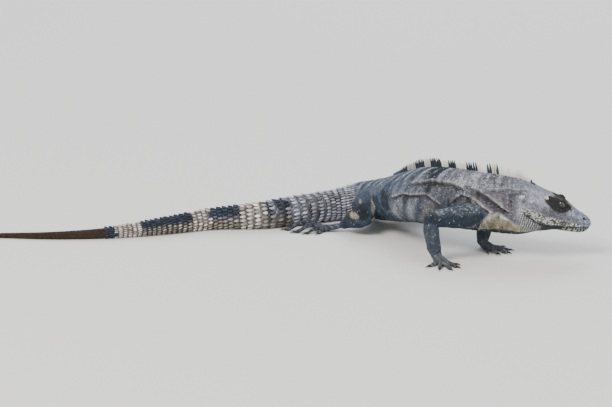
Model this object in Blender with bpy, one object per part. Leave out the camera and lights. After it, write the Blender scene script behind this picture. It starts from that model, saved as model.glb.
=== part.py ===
"""Black spiny-tailed iguana, adult male, life size, standing still on its own feet.

The animal faces +X with its right side towards -Y. Everything here is in millimetres until mesh_object
turns it into metres. The body is one sweep from the snout to the tip of the tail: a station is a distance
along that line, measured backwards from the snout. Each named part is a length of the sweep, or a limb
segment that is trimmed by the part that carries it, so that neighbours meet across a thin cut.
"""

import math

import bmesh
import bpy
import numpy as np

MM = 0.001
CUT = 0.35  # width of the cut between neighbouring parts
FACET_ERROR = 0.25  # how far a part's flat facets can stand out of its true curve

# Stations along the body, from the snout backwards.
HEAD_END = 90.0
NECK_END = 130.0
TRUNK_END = 288.0
HIPS_END = 352.0
TAIL_JOINTS = (352.0, 430.0, 515.0, 605.0, 690.0)  # whorled tail
REGROWN_JOINTS = (690.0, 770.0, 855.0, 940.0)  # the tail that grew again after a break
EAR_STATION = 83.5
CREST_START = 75.0
CREST_END = 287.0

# The line that the body follows: station, then x, y, z.
BODY_LINE = (
    (0, 180, 22, 41),
    (20, 162, 22, 46),
    (44, 139, 22, 55.5),
    (63, 120, 23, 59.5),
    (83, 100, 25, 62.5),
    (111, 72, 28, 65),
    (142, 43, 38, 66.5),
    (180, 13, 62, 65),
    (227, -16, 100, 59),
    (276, -42, 142, 45.5),
    (322, -64, 182, 31.5),
    (362, -89, 210, 21.5),
    (400, -124, 207, 18.3),
    (444, -167, 183, 17.2),
    (497, -217, 164, 15.2),
    (553, -270, 160, 12.5),
    (628, -341, 131, 9.4),
    (682, -393, 115, 6.8),
    (752, -463, 108, 4.6),
    (826, -537, 114, 2.9),
    (900, -610, 117, 2),
    (940, -650, 117, 1.4),
)
# The body's girth: station, half width, height above the line, depth below it.
BODY_GIRTH = (
    (0, 8.5, 8, 10),
    (8, 11, 9, 12),
    (20, 13.5, 12, 15),
    (33, 17, 15.5, 18.5),
    (44, 20.5, 19, 22),
    (63, 26, 24.5, 28),
    (83, 28.5, 31.5, 35.5),
    (100, 27, 34.5, 36.5),
    (120, 27.5, 36, 36.5),
    (142, 31, 36.5, 36.5),
    (180, 36, 36.5, 37),
    (227, 39, 32.5, 35),
    (276, 35, 27.5, 31),
    (322, 27.5, 26.5, 25.5),
    (362, 20.5, 25, 20),
    (400, 18.5, 18.3, 18.5),
    (444, 17.5, 17.8, 18.4),
    (497, 15.2, 15.8, 16.4),
    (553, 12.6, 13, 13.6),
    (628, 9.5, 9.8, 10.3),
    (682, 7.1, 7.2, 7.6),
    (752, 5, 5, 5.4),
    (826, 3.2, 3.2, 3.6),
    (900, 2.3, 2.3, 2.7),
    (940, 1.4, 1.4, 2),
)
SNOUT_RADIUS = 9.0  # how bluntly the snout ends
# How square the lower half of the section is, from a keeled throat to a flat belly.
LOWER_SQUARENESS = (
    (0, 2.2), (50, 2.0), (80, 1.5), (108, 1.5), (140, 2.0), (200, 2.3), (330, 2.3), (400, 2.1), (940, 2),
)
UPPER_SQUARENESS = (
    (0, 2.2), (30, 2.5), (60, 2.4), (90, 2.0), (130, 1.85), (300, 1.85), (400, 2.0), (940, 2),
)

# Raised and sunken places of the head: station, angle from the side, length, spread in degrees, height.
HEAD_RELIEF = {
    "brow": (43, 64, 10, 11, 2.6),
    "canthus": (22, 42, 12, 12, 1.6),
    "eye_hollow": (43, 45, 8, 13, -1.8),
    "temple": (60, 38, 12, 20, 1.0),
    "cheek_hollow": (24, 4, 9, 18, -1.3),
    "jowl": (74, -26, 13, 20, 4.0),
    "nostril_swelling": (7, 34, 5, 16, 1.0),
    "crown_dip": (46, 90, 16, 16, -1.6),
}

# The mouth: station, then height of the lip line above the body line.
MOUTH_LINE = ((-6, -2.5), (4, -3.6), (14, -5.6), (27, -8.6), (40, -11.4), (52, -12.8), (64, -10.6), (72, -6.5))
JAW_HINGE_SLOPE = 9.0  # the cut behind the jaw leans back by this much
JAW_HINGE_DROP = -24.0  # and reaches that far back at this height
JAW_BLOCK_WIDTH, JAW_BLOCK_LOW = 90.0, -60.0  # the block that parts the jaw from the head

EYE_STATION, EYE_SIDE, EYE_HEIGHT, EYE_RADIUS = 43.0, 12.3, 13.8, 5.6
EARDRUM_ANGLE, EARDRUM_RADIUS, EARDRUM_THICKNESS = 22.0, 4.6, 1.4

# The crest of upright scales along the nape and back: station, height.
CREST_HEIGHT = (
    (74, 2.5), (80, 6.5), (87, 11), (96, 12.5), (124, 12), (150, 10.3), (180, 9.3), (205, 11.5), (220, 11),
    (235, 9.5), (250, 8.5), (262, 6.5), (276, 4.5), (287, 3),
)
CREST_PITCH = 4.4
CREST_ROOT = 3.5  # how deep the crest's root lies in the back
CREST_THICKNESS = 1.7
CREST_TIP_THICKNESS = 0.7
CREST_LEAN = 1.2  # each scale's tip leans back by this much
CREST_NOTCH = 0.35  # how high the comb stays between two tips, as a share of their height
CREST_NOTCH_THICKNESS = 0.84  # and how thick it is there, as a share of the root's thickness

# The rings of spiny scales round the tail.
WHORL_START = 372.0
WHORL_PITCH = ((372, 10.6), (444, 9.8), (553, 7.2), (690, 5.5))
WHORL_HEIGHT = ((372, 0.5), (444, 1.7), (553, 1.9), (640, 1.5), (690, 0.9))

# Limb joints: x, y, z and then the radius of the flesh there. "right" is the side towards -Y.
ARMS = {
    "right": {
        "upper_arm": ((52, 30, 60, 12.5), (38, 10, 57, 13), (12, 1, 54.5, 12.8), (-12, -1, 53, 9.2)),
        "forearm": ((-12, -1, 52, 7.6), (-11, -1, 40, 9.8), (-8, -1, 22, 9), (-5, -2, 9, 7)),
        "palm": ((-5, -2, 8.5, 5.4), (-1, -8, 5.2, 8.6), (2, -13, 4, 8.4)),
        "heading": -62.0,
        "arch": 5.0,
    },
    "left": {
        "upper_arm": ((50, 50, 60, 13), (58, 64, 59, 13), (62, 84, 55, 12), (60, 98, 50, 9.4)),
        "forearm": ((60, 97, 49, 8), (59, 89, 36, 10.4), (57, 76, 21, 9.6), (54, 66, 9, 7.2)),
        "palm": ((54, 66, 8.5, 5.4), (58, 60, 5.2, 8.6), (62, 54, 4, 8.4)),
        "heading": -45.0,
        "arch": 5.0,
    },
}
LEGS = {
    "right": {
        "thigh": ((-60, 190, 28, 16), (-78, 170, 29, 18.8), (-86, 146, 28, 17.8), (-88, 124, 25, 12.5)),
        "shank": ((-88, 124, 24, 9.6), (-95, 130, 20, 12.4), (-105, 138, 14.5, 9.2), (-112, 143, 10, 6.4)),
        "sole": ((-112, 143, 9.2, 5), (-125, 146, 5.4, 7), (-138, 147, 3.4, 7.4)),
        "heading": 187.0,
        "arch": 8.0,
    },
    "left": {
        "thigh": ((-70, 182, 29, 17), (-52, 198, 29, 18.5), (-28, 203, 28, 17), (-4, 203, 26, 12)),
        "shank": ((-4, 203, 25, 9.5), (-11, 216, 21, 12.4), (-21, 233, 14.5, 9.4), (-28, 247, 9, 6.4)),
        "sole": ((-28, 247, 8.6, 5), (-18, 255, 5.2, 7.2), (-8, 262, 3.4, 7.4)),
        "heading": 42.0,
        "arch": 5.0,
    },
}
# Digits from the inner one outwards: angle from the foot's heading, length, radius at root, radius at tip.
FINGERS = (
    (46, 12, 2.9, 2.0), (19, 19, 3.0, 2.0), (-7, 23, 3.1, 2.1), (-34, 20, 3.0, 2.0), (-74, 14, 2.9, 2.0),
)
TOES = (
    (54, 14, 3.1, 2.0), (29, 24, 3.2, 2.0), (10, 34, 3.3, 2.1), (-8, 44, 3.4, 2.1), (-44, 27, 3.2, 2.0),
)
DIGIT_ROOT_INSET = 3.0  # how far inside the palm's end the digits start
LONG_DIGIT = 30.0  # a digit of this length arches as high as its foot's "arch" says
ROUND_END = ((0.55, 0.84), (0.92, 0.39))  # how far out, and how wide, a round end's rings are
CLAW_LENGTH = {"hand": 6.5, "foot": 7.0}
CLAW_RADIUS, CLAW_TIP_RADIUS = 1.5, 0.3
CLAW_ARCH, CLAW_DROP = 0.9, 1.5
PALM_FLATNESS = 0.55
BELOW_FLOOR = ((-1000, -500, -60), (500, 600, 0))

RING = {"head": 20, "trunk": 16, "tail": 10, "regrown": 6, "limb": 8, "digit": 5, "claw": 5, "eye": 10, "ear": 8}

COLOURS = {  # linear colour, roughness
    "scaly_skin": ((0.16, 0.17, 0.20), 0.75),
    "pale_ringed_skin": ((0.42, 0.40, 0.38), 0.75),
    "regrown_skin": ((0.15, 0.085, 0.05), 0.7),
    "eyeball": ((0.03, 0.02, 0.015), 0.12),
    "eardrum_skin": ((0.24, 0.23, 0.24), 0.5),
    "claw_horn": ((0.03, 0.027, 0.025), 0.35),
}


# ---------------------------------------------------------------------- shapes

def through(table, at, column=1):
    """The value at a station, on a smooth curve through a table's points."""
    xs = np.array([row[0] for row in table], float)
    ys = np.array([row[column] for row in table], float)
    slopes = np.gradient(ys, xs)
    at = np.clip(np.asarray(at, float), xs[0], xs[-1])
    i = np.clip(np.searchsorted(xs, at) - 1, 0, len(xs) - 2)
    step = xs[i + 1] - xs[i]
    u = (at - xs[i]) / step
    rise, bend = u * u * (3 - 2 * u), u * (1 - u)
    return ys[i] * (1 - rise) + ys[i + 1] * rise + step * bend * ((1 - u) * slopes[i] - u * slopes[i + 1])


def body_point(station):
    return np.array([float(through(BODY_LINE, station, column)) for column in (1, 2, 3)])


def body_frame(station):
    """The line's point at a station, with the directions forward, left and up there."""
    ahead = body_point(max(station - 2, 0))
    behind = body_point(min(station + 2, BODY_LINE[-1][0]))
    forward = (ahead - behind) / np.linalg.norm(ahead - behind)
    left = np.cross([0, 0, 1], forward)
    left /= np.linalg.norm(left)
    return body_point(station), forward, left, np.cross(forward, left)


def whorl_stations():
    """Where each ring of spiny scales ends."""
    found = [WHORL_START]
    while found[-1] < TAIL_JOINTS[-1] - 4:
        found.append(found[-1] + float(through(WHORL_PITCH, found[-1])))
    return found


def head_relief(station, angle):
    """How far the head swells out or sinks in at a place, on both sides. angle is up from the side."""
    height = 0.0
    for where, up, length, spread, rise in HEAD_RELIEF.values():
        along = (station - where) / length
        around = (angle - up) / spread
        height += rise * math.exp(-0.5 * (along * along + around * around))
    return height


def body_ring(station, count, grow=0.0):
    """One section of the body: count points, starting at the right side and going over the back."""
    centre, _, left, up = body_frame(station)
    blunt = math.sqrt(1 - (1 - min(station / SNOUT_RADIUS, 1)) ** 2) if station < SNOUT_RADIUS else 1.0
    blunt = max(blunt, 0.25)
    wide, high, deep = (float(through(BODY_GIRTH, station, column)) * blunt + grow for column in (1, 2, 3))
    upper, lower = float(through(UPPER_SQUARENESS, station)), float(through(LOWER_SQUARENESS, station))
    points = []
    for i in range(count):
        angle = 2 * math.pi * i / count
        c, s = math.cos(angle), math.sin(angle)
        power = 2 / (upper if s > 0 else lower)
        side = -wide * math.copysign(abs(c) ** power, c)
        rise = (high if s > 0 else deep) * math.copysign(abs(s) ** power, s)
        from_side = math.degrees(math.atan2(s, abs(c)))
        swell = 1 + head_relief(station, from_side) * blunt / max(wide, high)
        points.append(centre + left * side * swell + up * rise * swell)
    return points


def tube(rings):
    """A closed mesh through equal rings of points, as (points, faces)."""
    count = len(rings[0])
    points = [p for ring in rings for p in ring]
    faces = [tuple(reversed(range(count)))]
    for i in range(len(rings) - 1):
        a, b = i * count, (i + 1) * count
        faces += [(a + j, a + (j + 1) % count, b + (j + 1) % count, b + j) for j in range(count)]
    faces.append(tuple(range(len(points) - count, len(points))))
    return points, faces


def limb_rings(path, count, grow=0.0, flat=1.0, ends=(True, True), steps=2):
    """Rings along a path of (x, y, z, radius) with rounded ends. flat squashes them in z."""
    table = [(i, *row) for i, row in enumerate(path)]
    last = len(path) - 1
    at = list(np.linspace(0, last, last * steps + 1))
    centres = [np.array([float(through(table, t, c)) for c in (1, 2, 3)]) for t in at]
    radii = [float(through(table, t, 4)) + grow for t in at]
    start, finish = centres[0] - centres[1], centres[-1] - centres[-2]
    start, finish = start / np.linalg.norm(start), finish / np.linalg.norm(finish)
    first, end = (centres[0], radii[0]), (centres[-1], radii[-1])
    if ends[0]:
        for out, wide in ROUND_END:
            centres.insert(0, first[0] + start * first[1] * out)
            radii.insert(0, first[1] * wide)
    if ends[1]:
        for out, wide in ROUND_END:
            centres.append(end[0] + finish * end[1] * out)
            radii.append(end[1] * wide)
    rings, side = [], None
    for i, (centre, radius) in enumerate(zip(centres, radii)):
        along = centres[min(i + 1, len(centres) - 1)] - centres[max(i - 1, 0)]
        along /= np.linalg.norm(along)
        if side is None:
            side = np.cross(along, [0, 0, 1] if abs(along[2]) < 0.9 else [1, 0, 0])
        side = side - along * np.dot(side, along)
        side /= np.linalg.norm(side)
        up = np.cross(side, along)
        turn = [2 * math.pi * k / count for k in range(count)]
        ring = [centre + radius * (math.cos(a) * side + math.sin(a) * up) for a in turn]
        rings.append([np.array([p[0], p[1], centre[2] + (p[2] - centre[2]) * flat]) for p in ring])
    return rings


# ---------------------------------------------------------------------- Blender objects

def material(name):
    if name in bpy.data.materials:
        return bpy.data.materials[name]
    made = bpy.data.materials.new(name)
    made.use_nodes = True
    colour, roughness = COLOURS[name]
    shader = made.node_tree.nodes["Principled BSDF"]
    shader.inputs["Base Color"].default_value = (*colour, 1)
    shader.inputs["Roughness"].default_value = roughness
    made.diffuse_color = (*colour, 1)
    return made


def direction(degrees):
    return np.array([math.cos(math.radians(degrees)), math.sin(math.radians(degrees)), 0])


def mesh_object(name, shape, finish=None):
    """An object from (points, faces) in millimetres. One with no finish is only a helper."""
    points, faces = shape
    mesh = bpy.data.meshes.new(name)
    mesh.from_pydata([tuple(np.asarray(p) * MM) for p in points], [], faces)
    work = bmesh.new()
    work.from_mesh(mesh)
    bmesh.ops.recalc_face_normals(work, faces=work.faces)
    bmesh.ops.triangulate(work, faces=[f for f in work.faces if len(f.verts) > 3])
    work.to_mesh(mesh)
    work.free()
    made = bpy.data.objects.new(name, mesh)
    bpy.context.scene.collection.objects.link(made)
    if finish:
        mesh.materials.append(material(finish))
        mesh.shade_smooth()
    else:
        made.hide_render = True
        made.display_type = "WIRE"
    return made


def combine(target, other, operation):
    """Applies a Boolean to target at once, and keeps other only as a hidden helper."""
    step = target.modifiers.new(operation.lower(), "BOOLEAN")
    step.operation = operation
    step.solver = "EXACT"
    step.object = other
    bpy.context.view_layer.update()
    result = bpy.data.meshes.new_from_object(target.evaluated_get(bpy.context.evaluated_depsgraph_get()))
    target.modifiers.remove(step)
    old = target.data
    target.data = result
    bpy.data.meshes.remove(old)


def helper(shape):
    return mesh_object("helper", shape)


def remove(obj):
    bpy.data.objects.remove(obj)


def keep_main_body(obj):
    """A cut can leave crumbs on the far side of what was cut away. Only the piece with the most points stays."""
    work = bmesh.new()
    work.from_mesh(obj.data)
    left, pieces = set(work.verts), []
    while left:
        reached, edge = set(), [left.pop()]
        while edge:
            point = edge.pop()
            reached.add(point)
            new = [e.other_vert(point) for e in point.link_edges if e.other_vert(point) not in reached]
            edge += new
            reached.update(new)
        left -= reached
        pieces.append(reached)
    crumbs = [v for piece in pieces if piece is not max(pieces, key=len) for v in piece]
    bmesh.ops.delete(work, geom=crumbs, context="VERTS")
    work.to_mesh(obj.data)
    work.free()


def trim(target, shape, operation="DIFFERENCE"):
    cutter = helper(shape)
    combine(target, cutter, operation)
    remove(cutter)
    keep_main_body(target)


def box(low, high):
    (x0, y0, z0), (x1, y1, z1) = low, high
    points = [(x, y, z) for z in (z0, z1) for x, y in ((x0, y0), (x1, y0), (x1, y1), (x0, y1))]
    faces = [(3, 2, 1, 0), (4, 5, 6, 7), (0, 1, 5, 4), (1, 2, 6, 5), (2, 3, 7, 6), (3, 0, 4, 7)]
    return points, faces


def ball(centre, radii, count=16, turned=None):
    """An ellipsoid. turned gives its three axes."""
    axes = np.eye(3) if turned is None else np.array(turned)
    centre = np.array(centre, float)
    half = count // 2
    points = [centre - axes[2] * radii[2]]
    for j in range(1, half):
        tilt = math.pi * j / half - math.pi / 2
        for i in range(count):
            turn = 2 * math.pi * i / count
            local = (math.cos(tilt) * math.cos(turn), math.cos(tilt) * math.sin(turn), math.sin(tilt))
            points.append(centre + sum(axes[k] * radii[k] * local[k] for k in range(3)))
    points.append(centre + axes[2] * radii[2])
    top = len(points) - 1
    faces = [(0, 1 + (i + 1) % count, 1 + i) for i in range(count)]
    for j in range(half - 2):
        a, b = 1 + j * count, 1 + (j + 1) * count
        faces += [(a + i, a + (i + 1) % count, b + (i + 1) % count, b + i) for i in range(count)]
    faces += [(top, top - count + i, top - count + (i + 1) % count) for i in range(count)]
    return points, faces


# ---------------------------------------------------------------------- the crest

def crest(start, end):
    """A comb of upright scales standing in the back, from one station to another."""
    count = max(1, round((end - start) / CREST_PITCH))
    pitch = (end - start) / count
    notch = CREST_THICKNESS * CREST_NOTCH_THICKNESS / 2
    outline = []  # station, height over the back, half thickness
    for i in range(count):
        base = start + i * pitch
        tall = float(through(CREST_HEIGHT, base + pitch / 2))
        outline.append((base, tall * CREST_NOTCH, notch))
        outline.append((base + pitch / 2 + CREST_LEAN, tall, CREST_TIP_THICKNESS / 2))
    outline.append((end, outline[-2][1], notch))
    rings = []
    for station, tall, half in outline:
        centre, _, left, up = body_frame(station)
        back = float(through(BODY_GIRTH, station, 2))
        root = centre + up * (back - CREST_ROOT)
        tip = centre + up * (back + tall)
        wide = CREST_THICKNESS / 2
        rings.append([root - left * wide, root + left * wide, tip + left * half, tip - left * half])
    return tube(rings)


# ---------------------------------------------------------------------- head

def spread(start, end, step):
    count = max(1, round((end - start) / step))
    return list(np.linspace(start, end, count + 1))


def head_shape(grow=0.0):
    stations = [0, 0.8, 2.4, 5, 9, 13] + spread(17, 57, 5) + spread(63, HEAD_END - CUT / 2, 9)
    return tube([body_ring(s, RING["head"], grow) for s in stations])


def jaw_wedge(inset):
    """The block below the lip line and in front of the jaw's hinge."""
    profile = [(s, h - inset) for s, h in MOUTH_LINE]
    profile[-1] = (profile[-1][0] - inset, profile[-1][1] - inset)
    hinge = profile[-1][0] + JAW_HINGE_SLOPE - inset
    profile.append((hinge, JAW_HINGE_DROP))
    profile.append((hinge, JAW_BLOCK_LOW))
    profile.append((profile[0][0], JAW_BLOCK_LOW))
    _, forward, left, up = body_frame(EYE_STATION)
    sides = []
    for side in (-JAW_BLOCK_WIDTH / 2, JAW_BLOCK_WIDTH / 2):
        row = []
        for station, height in profile:
            centre = body_point(max(station, 0)) + forward * max(-station, 0)
            row.append(centre + up * height + left * side)
        sides.append(row)
    count = len(profile)
    faces = [tuple(range(count)), tuple(range(2 * count - 1, count - 1, -1))]
    faces += [(j, j + count, (j + 1) % count + count, (j + 1) % count) for j in range(count)]
    return sides[0] + sides[1], faces


def eye_centre(side):
    centre, _, left, up = body_frame(EYE_STATION)
    return centre + left * EYE_SIDE * side + up * EYE_HEIGHT


def eardrum_place(side):
    """The eardrum's centre on the skin, and its three axes, the last one pointing out."""
    count = 360
    ring = body_ring(EAR_STATION, count)
    from_side = EARDRUM_ANGLE if side < 0 else 180 - EARDRUM_ANGLE
    here = ring[round(from_side) % count]
    around = ring[(round(from_side) + 6) % count] - ring[(round(from_side) - 6) % count]
    around /= np.linalg.norm(around)
    behind = body_ring(EAR_STATION + 3, count)[round(from_side) % count]
    ahead = body_ring(EAR_STATION - 3, count)[round(from_side) % count]
    along = (behind - ahead) / np.linalg.norm(behind - ahead)
    out = np.cross(along, around)
    out *= math.copysign(1, np.dot(out, here - body_point(EAR_STATION)))
    out /= np.linalg.norm(out)
    along = np.cross(around, out)
    return here, (along, around, out)


SIDES = {"right": -1, "left": 1}


def make_head():
    head = mesh_object("head", head_shape(), "scaly_skin")
    jaw = mesh_object("lower_jaw", head_shape(), "scaly_skin")
    trim(head, crest(CREST_START, HEAD_END - CUT / 2), "UNION")
    trim(head, jaw_wedge(0))
    trim(jaw, jaw_wedge(CUT), "INTERSECT")
    for name, side in SIDES.items():
        radius, count = EYE_RADIUS, RING["eye"]
        mesh_object(f"eye_{name}", ball(eye_centre(side), (radius,) * 3, count), "eyeball")
        trim(head, ball(eye_centre(side), (radius + CUT,) * 3, count))
        place, axes = eardrum_place(side)
        flat = (EARDRUM_RADIUS, EARDRUM_RADIUS * 1.15, EARDRUM_THICKNESS)
        inside = place - axes[2] * 0.5
        mesh_object(f"eardrum_{name}", ball(inside, flat, RING["ear"], axes), "eardrum_skin")
        trim(head, ball(inside, [r + CUT for r in flat], RING["ear"], axes))


# ---------------------------------------------------------------------- trunk and tail

def body_length(name, start, end, step, count, finish):
    stations = spread(start + CUT / 2, end - CUT / 2, step)
    return mesh_object(name, tube([body_ring(s, count) for s in stations]), finish)


def make_trunk():
    neck = body_length("neck", HEAD_END, NECK_END, 10, RING["trunk"], "scaly_skin")
    trim(neck, crest(HEAD_END + CUT / 2, NECK_END - CUT / 2), "UNION")
    trunk = body_length("trunk", NECK_END, TRUNK_END, 15, RING["trunk"], "scaly_skin")
    trim(trunk, crest(NECK_END + CUT / 2, CREST_END - 1.0), "UNION")
    body_length("hips", TRUNK_END, HIPS_END, 12, RING["trunk"], "scaly_skin")


def on_floor(points):
    return [np.array([p[0], p[1], max(p[2], 0.0)]) for p in points]


def tail_rings(start, end, whorls):
    """Sections of a length of tail: each whorl rises to its spiny rear edge and drops back."""
    inner = [w for w in whorls if start + 2.5 < w < end - 2.5]
    stations = [(start + CUT / 2, 0.0)]
    for edge in inner:
        tall = float(through(WHORL_HEIGHT, edge))
        stations += [(edge - 0.6, tall), (edge + 0.9, 0.0)]
    stations.append((end - CUT / 2, 0.0))
    return [on_floor(body_ring(s, RING["tail"], grow)) for s, grow in stations]


def make_tail():
    whorls = whorl_stations()
    for i, (start, end) in enumerate(zip(TAIL_JOINTS, TAIL_JOINTS[1:])):
        finish = "scaly_skin" if i == 0 else "pale_ringed_skin"
        mesh_object(f"tail_{i + 1}", tube(tail_rings(start, end, whorls)), finish)
    for i, (start, end) in enumerate(zip(REGROWN_JOINTS, REGROWN_JOINTS[1:])):
        stations = spread(start + CUT / 2, end - CUT / 2, 20)
        rings = [on_floor(body_ring(s, RING["regrown"])) for s in stations]
        mesh_object(f"tail_regrown_{i + 1}", tube(rings), "regrown_skin")


# ---------------------------------------------------------------------- limbs

def body_cutter(start, end):
    """A slightly larger length of the body, that parts a limb from it."""
    return tube([body_ring(s, RING["trunk"], CUT + FACET_ERROR) for s in spread(start, end, 10)])


def limb_segment(name, path):
    return mesh_object(name, tube(limb_rings(path, RING["limb"], ends=(False, True))), "scaly_skin")


def digit_path(root, way, length, radius, tip_radius, arch):
    """A digit on the floor: it leaves the palm, arches over its knuckle and comes down at its tip."""
    middle = root + way * length * 0.45
    tip = root + way * length
    arch = max(arch, radius)
    return (
        (*root[:2], radius * 1.1, radius),
        (*middle[:2], arch, radius * 0.92),
        (*tip[:2], tip_radius * 0.8, tip_radius),
    )


def claw_shape(tip, way, length):
    """A curved horn claw that comes out of a digit's end and down to the floor."""
    side, up = np.array([-way[1], way[0], 0]), np.array([0, 0, 1])
    rings = []
    for share in (0, 0.55, 1):
        radius = CLAW_RADIUS * (1 - share) ** 0.7 + CLAW_TIP_RADIUS
        centre = np.array(tip) + way * length * share
        centre[2] = max(tip[2] + CLAW_ARCH * math.sin(share * math.pi * 0.8) - share * CLAW_DROP, radius * 0.9)
        turn = [2 * math.pi * k / RING["claw"] for k in range(RING["claw"])]
        rings.append([centre + radius * (math.cos(a) * side + math.sin(a) * up) for a in turn])
    return tube([on_floor(ring) for ring in rings])


def make_foot(name, palm, digits, heading, arch, claw_length, mirrored):
    """A palm or sole with its digits joined on, flat on the floor, and a claw on each digit."""
    rings = limb_rings(palm, RING["limb"], flat=PALM_FLATNESS, ends=(False, True))
    foot = mesh_object(name, tube(rings), "scaly_skin")
    ahead = direction(heading)
    end = np.array(palm[-1][:3], float) - ahead * DIGIT_ROOT_INSET
    paths = []
    for turn, length, radius, tip_radius in digits:
        way = direction(heading + (-turn if mirrored else turn))
        root = end + way * palm[-1][3] * 0.45
        paths.append((digit_path(root, way, length, radius, tip_radius, arch * length / LONG_DIGIT), way))
    for path, _ in paths:
        trim(foot, tube(limb_rings(path, RING["digit"], ends=(False, True), steps=1)), "UNION")
    trim(foot, box(*BELOW_FLOOR))
    for i, (path, way) in enumerate(paths):
        tip = np.array(path[-1][:3]) + way * (path[-1][3] * ROUND_END[-1][0] + CUT)
        mesh_object(f"claw_{name}_{i + 1}", claw_shape(tip, way, claw_length), "claw_horn")
    return foot


def make_limbs():
    for name, side in SIDES.items():
        arm, leg = ARMS[name], LEGS[name]
        upper = limb_segment(f"upper_arm_{name}", arm["upper_arm"])
        trim(upper, body_cutter(100, 230))
        fore = limb_segment(f"forearm_{name}", arm["forearm"])
        trim(fore, tube(limb_rings(arm["upper_arm"], RING["limb"], CUT)))
        stance = (arm["palm"], FINGERS, arm["heading"], arm["arch"])
        hand = make_foot(f"hand_{name}", *stance, CLAW_LENGTH["hand"], side > 0)
        trim(hand, tube(limb_rings(arm["forearm"], RING["limb"], CUT)))

        thigh = limb_segment(f"thigh_{name}", leg["thigh"])
        trim(thigh, body_cutter(240, 400))
        shank = limb_segment(f"shank_{name}", leg["shank"])
        trim(shank, tube(limb_rings(leg["thigh"], RING["limb"], CUT)))
        stance = (leg["sole"], TOES, leg["heading"], leg["arch"])
        foot = make_foot(f"foot_{name}", *stance, CLAW_LENGTH["foot"], side > 0)
        trim(foot, tube(limb_rings(leg["shank"], RING["limb"], CUT)))


# ---------------------------------------------------------------------- the whole model

def set_origin():
    """Moves the model so that the world's origin is on the floor below the middle of its box."""
    bpy.context.view_layer.update()
    parts = [o for o in bpy.data.objects if o.type == "MESH" and not o.hide_render]
    corners = np.array([o.matrix_world @ v.co for o in parts for v in o.data.vertices])
    middle = (corners.min(axis=0) + corners.max(axis=0)) / 2
    print("middle of the box before the move, in metres:", middle[0], middle[1])
    for part in parts:
        part.location = (-middle[0], -middle[1], 0)


def main():
    for old in list(bpy.data.objects):
        bpy.data.objects.remove(old)
    make_head()
    make_trunk()
    make_tail()
    make_limbs()
    set_origin()


main()
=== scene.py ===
import math

import bpy
import numpy as np
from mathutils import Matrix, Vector
from mathutils.bvhtree import BVHTree


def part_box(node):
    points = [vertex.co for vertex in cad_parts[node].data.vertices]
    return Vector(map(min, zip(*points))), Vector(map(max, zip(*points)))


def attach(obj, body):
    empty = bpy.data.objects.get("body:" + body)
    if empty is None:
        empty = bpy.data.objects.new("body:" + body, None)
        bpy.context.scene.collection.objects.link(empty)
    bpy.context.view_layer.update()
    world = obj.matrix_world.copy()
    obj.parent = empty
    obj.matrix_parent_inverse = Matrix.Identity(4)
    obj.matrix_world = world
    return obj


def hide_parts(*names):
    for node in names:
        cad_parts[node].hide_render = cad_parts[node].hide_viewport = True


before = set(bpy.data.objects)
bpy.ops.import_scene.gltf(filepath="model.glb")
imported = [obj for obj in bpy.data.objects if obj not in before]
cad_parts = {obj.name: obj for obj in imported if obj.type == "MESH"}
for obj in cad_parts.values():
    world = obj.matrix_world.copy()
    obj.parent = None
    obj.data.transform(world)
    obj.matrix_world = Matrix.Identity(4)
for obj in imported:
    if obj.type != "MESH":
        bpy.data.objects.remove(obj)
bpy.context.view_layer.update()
print("stage: frame loaded")

# Sizes of the animal are in millimetres, as its solids are designed. place() turns them into the frame's
# metres.
mm = 0.001

camera = {"place": (0.0752, -3.60618, 0.93847), "tilt": 76.0, "lens": 177.95, "sensor": 36.0, "far": 100}

studio = {
    "floorSize": 30.0, "floorHeight": -0.0002,
    "floorColour": "#f1f0ed",
    "worldColour": "#f3f4f6",
    "worldStrength": 0.8,
    "lightsAim": (0, 0, 0.05),
    # name: place, size in metres, watts, colour
    "lights": {
        "keyLight": ((-1.6, -2.2, 2.9), 1.6, 125.0, "#fffaf2"),
        "fillLight": ((2.4, -2.4, 1.6), 2.4, 34.0, "#eef3ff"),
        "backLight": ((0.6, 2.6, 2.4), 2.0, 58.0, "#f4f7ff"),
    },
}

# The line through the body: station (mm back from the snout), x, y, z.
bodyLine = (
    (0, 180, 22, 41), (20, 162, 22, 46), (44, 139, 22, 55.5), (63, 120, 23, 59.5), (83, 100, 25, 62.5),
    (111, 72, 28, 65), (142, 43, 38, 66.5), (180, 13, 62, 65), (227, -16, 100, 59), (276, -42, 142, 45.5),
    (322, -64, 182, 31.5), (362, -89, 210, 21.5), (400, -124, 207, 18.3), (444, -167, 183, 17.2),
    (497, -217, 164, 15.2), (553, -270, 160, 12.5), (628, -341, 131, 9.4), (682, -393, 115, 6.8),
    (752, -463, 108, 4.6), (826, -537, 114, 2.9), (900, -610, 117, 2), (940, -650, 117, 1.4),
)
# The girth: station, half width, height above the line, depth below it.
bodyGirth = (
    (0, 8.5, 8, 10), (8, 11, 9, 12), (20, 13.5, 12, 15), (33, 17, 15.5, 18.5), (44, 20.5, 19, 22),
    (63, 26, 24.5, 28), (83, 28.5, 31.5, 35.5), (100, 27, 34.5, 36.5), (120, 27.5, 36, 36.5),
    (142, 31, 36.5, 36.5), (180, 36, 36.5, 37), (227, 39, 32.5, 35), (276, 35, 27.5, 31),
    (322, 27.5, 26.5, 25.5), (362, 20.5, 25, 20), (400, 18.5, 18.3, 18.5), (444, 17.5, 17.8, 18.4),
    (497, 15.2, 15.8, 16.4), (553, 12.6, 13, 13.6), (628, 9.5, 9.8, 10.3), (682, 7.1, 7.2, 7.6),
    (752, 5, 5, 5.4), (826, 3.2, 3.2, 3.6), (900, 2.3, 2.3, 2.7), (940, 1.4, 1.4, 2),
)
snout = {"radius": 9.0, "flatness": 0.0625}
tailTip = 940.0
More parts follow.
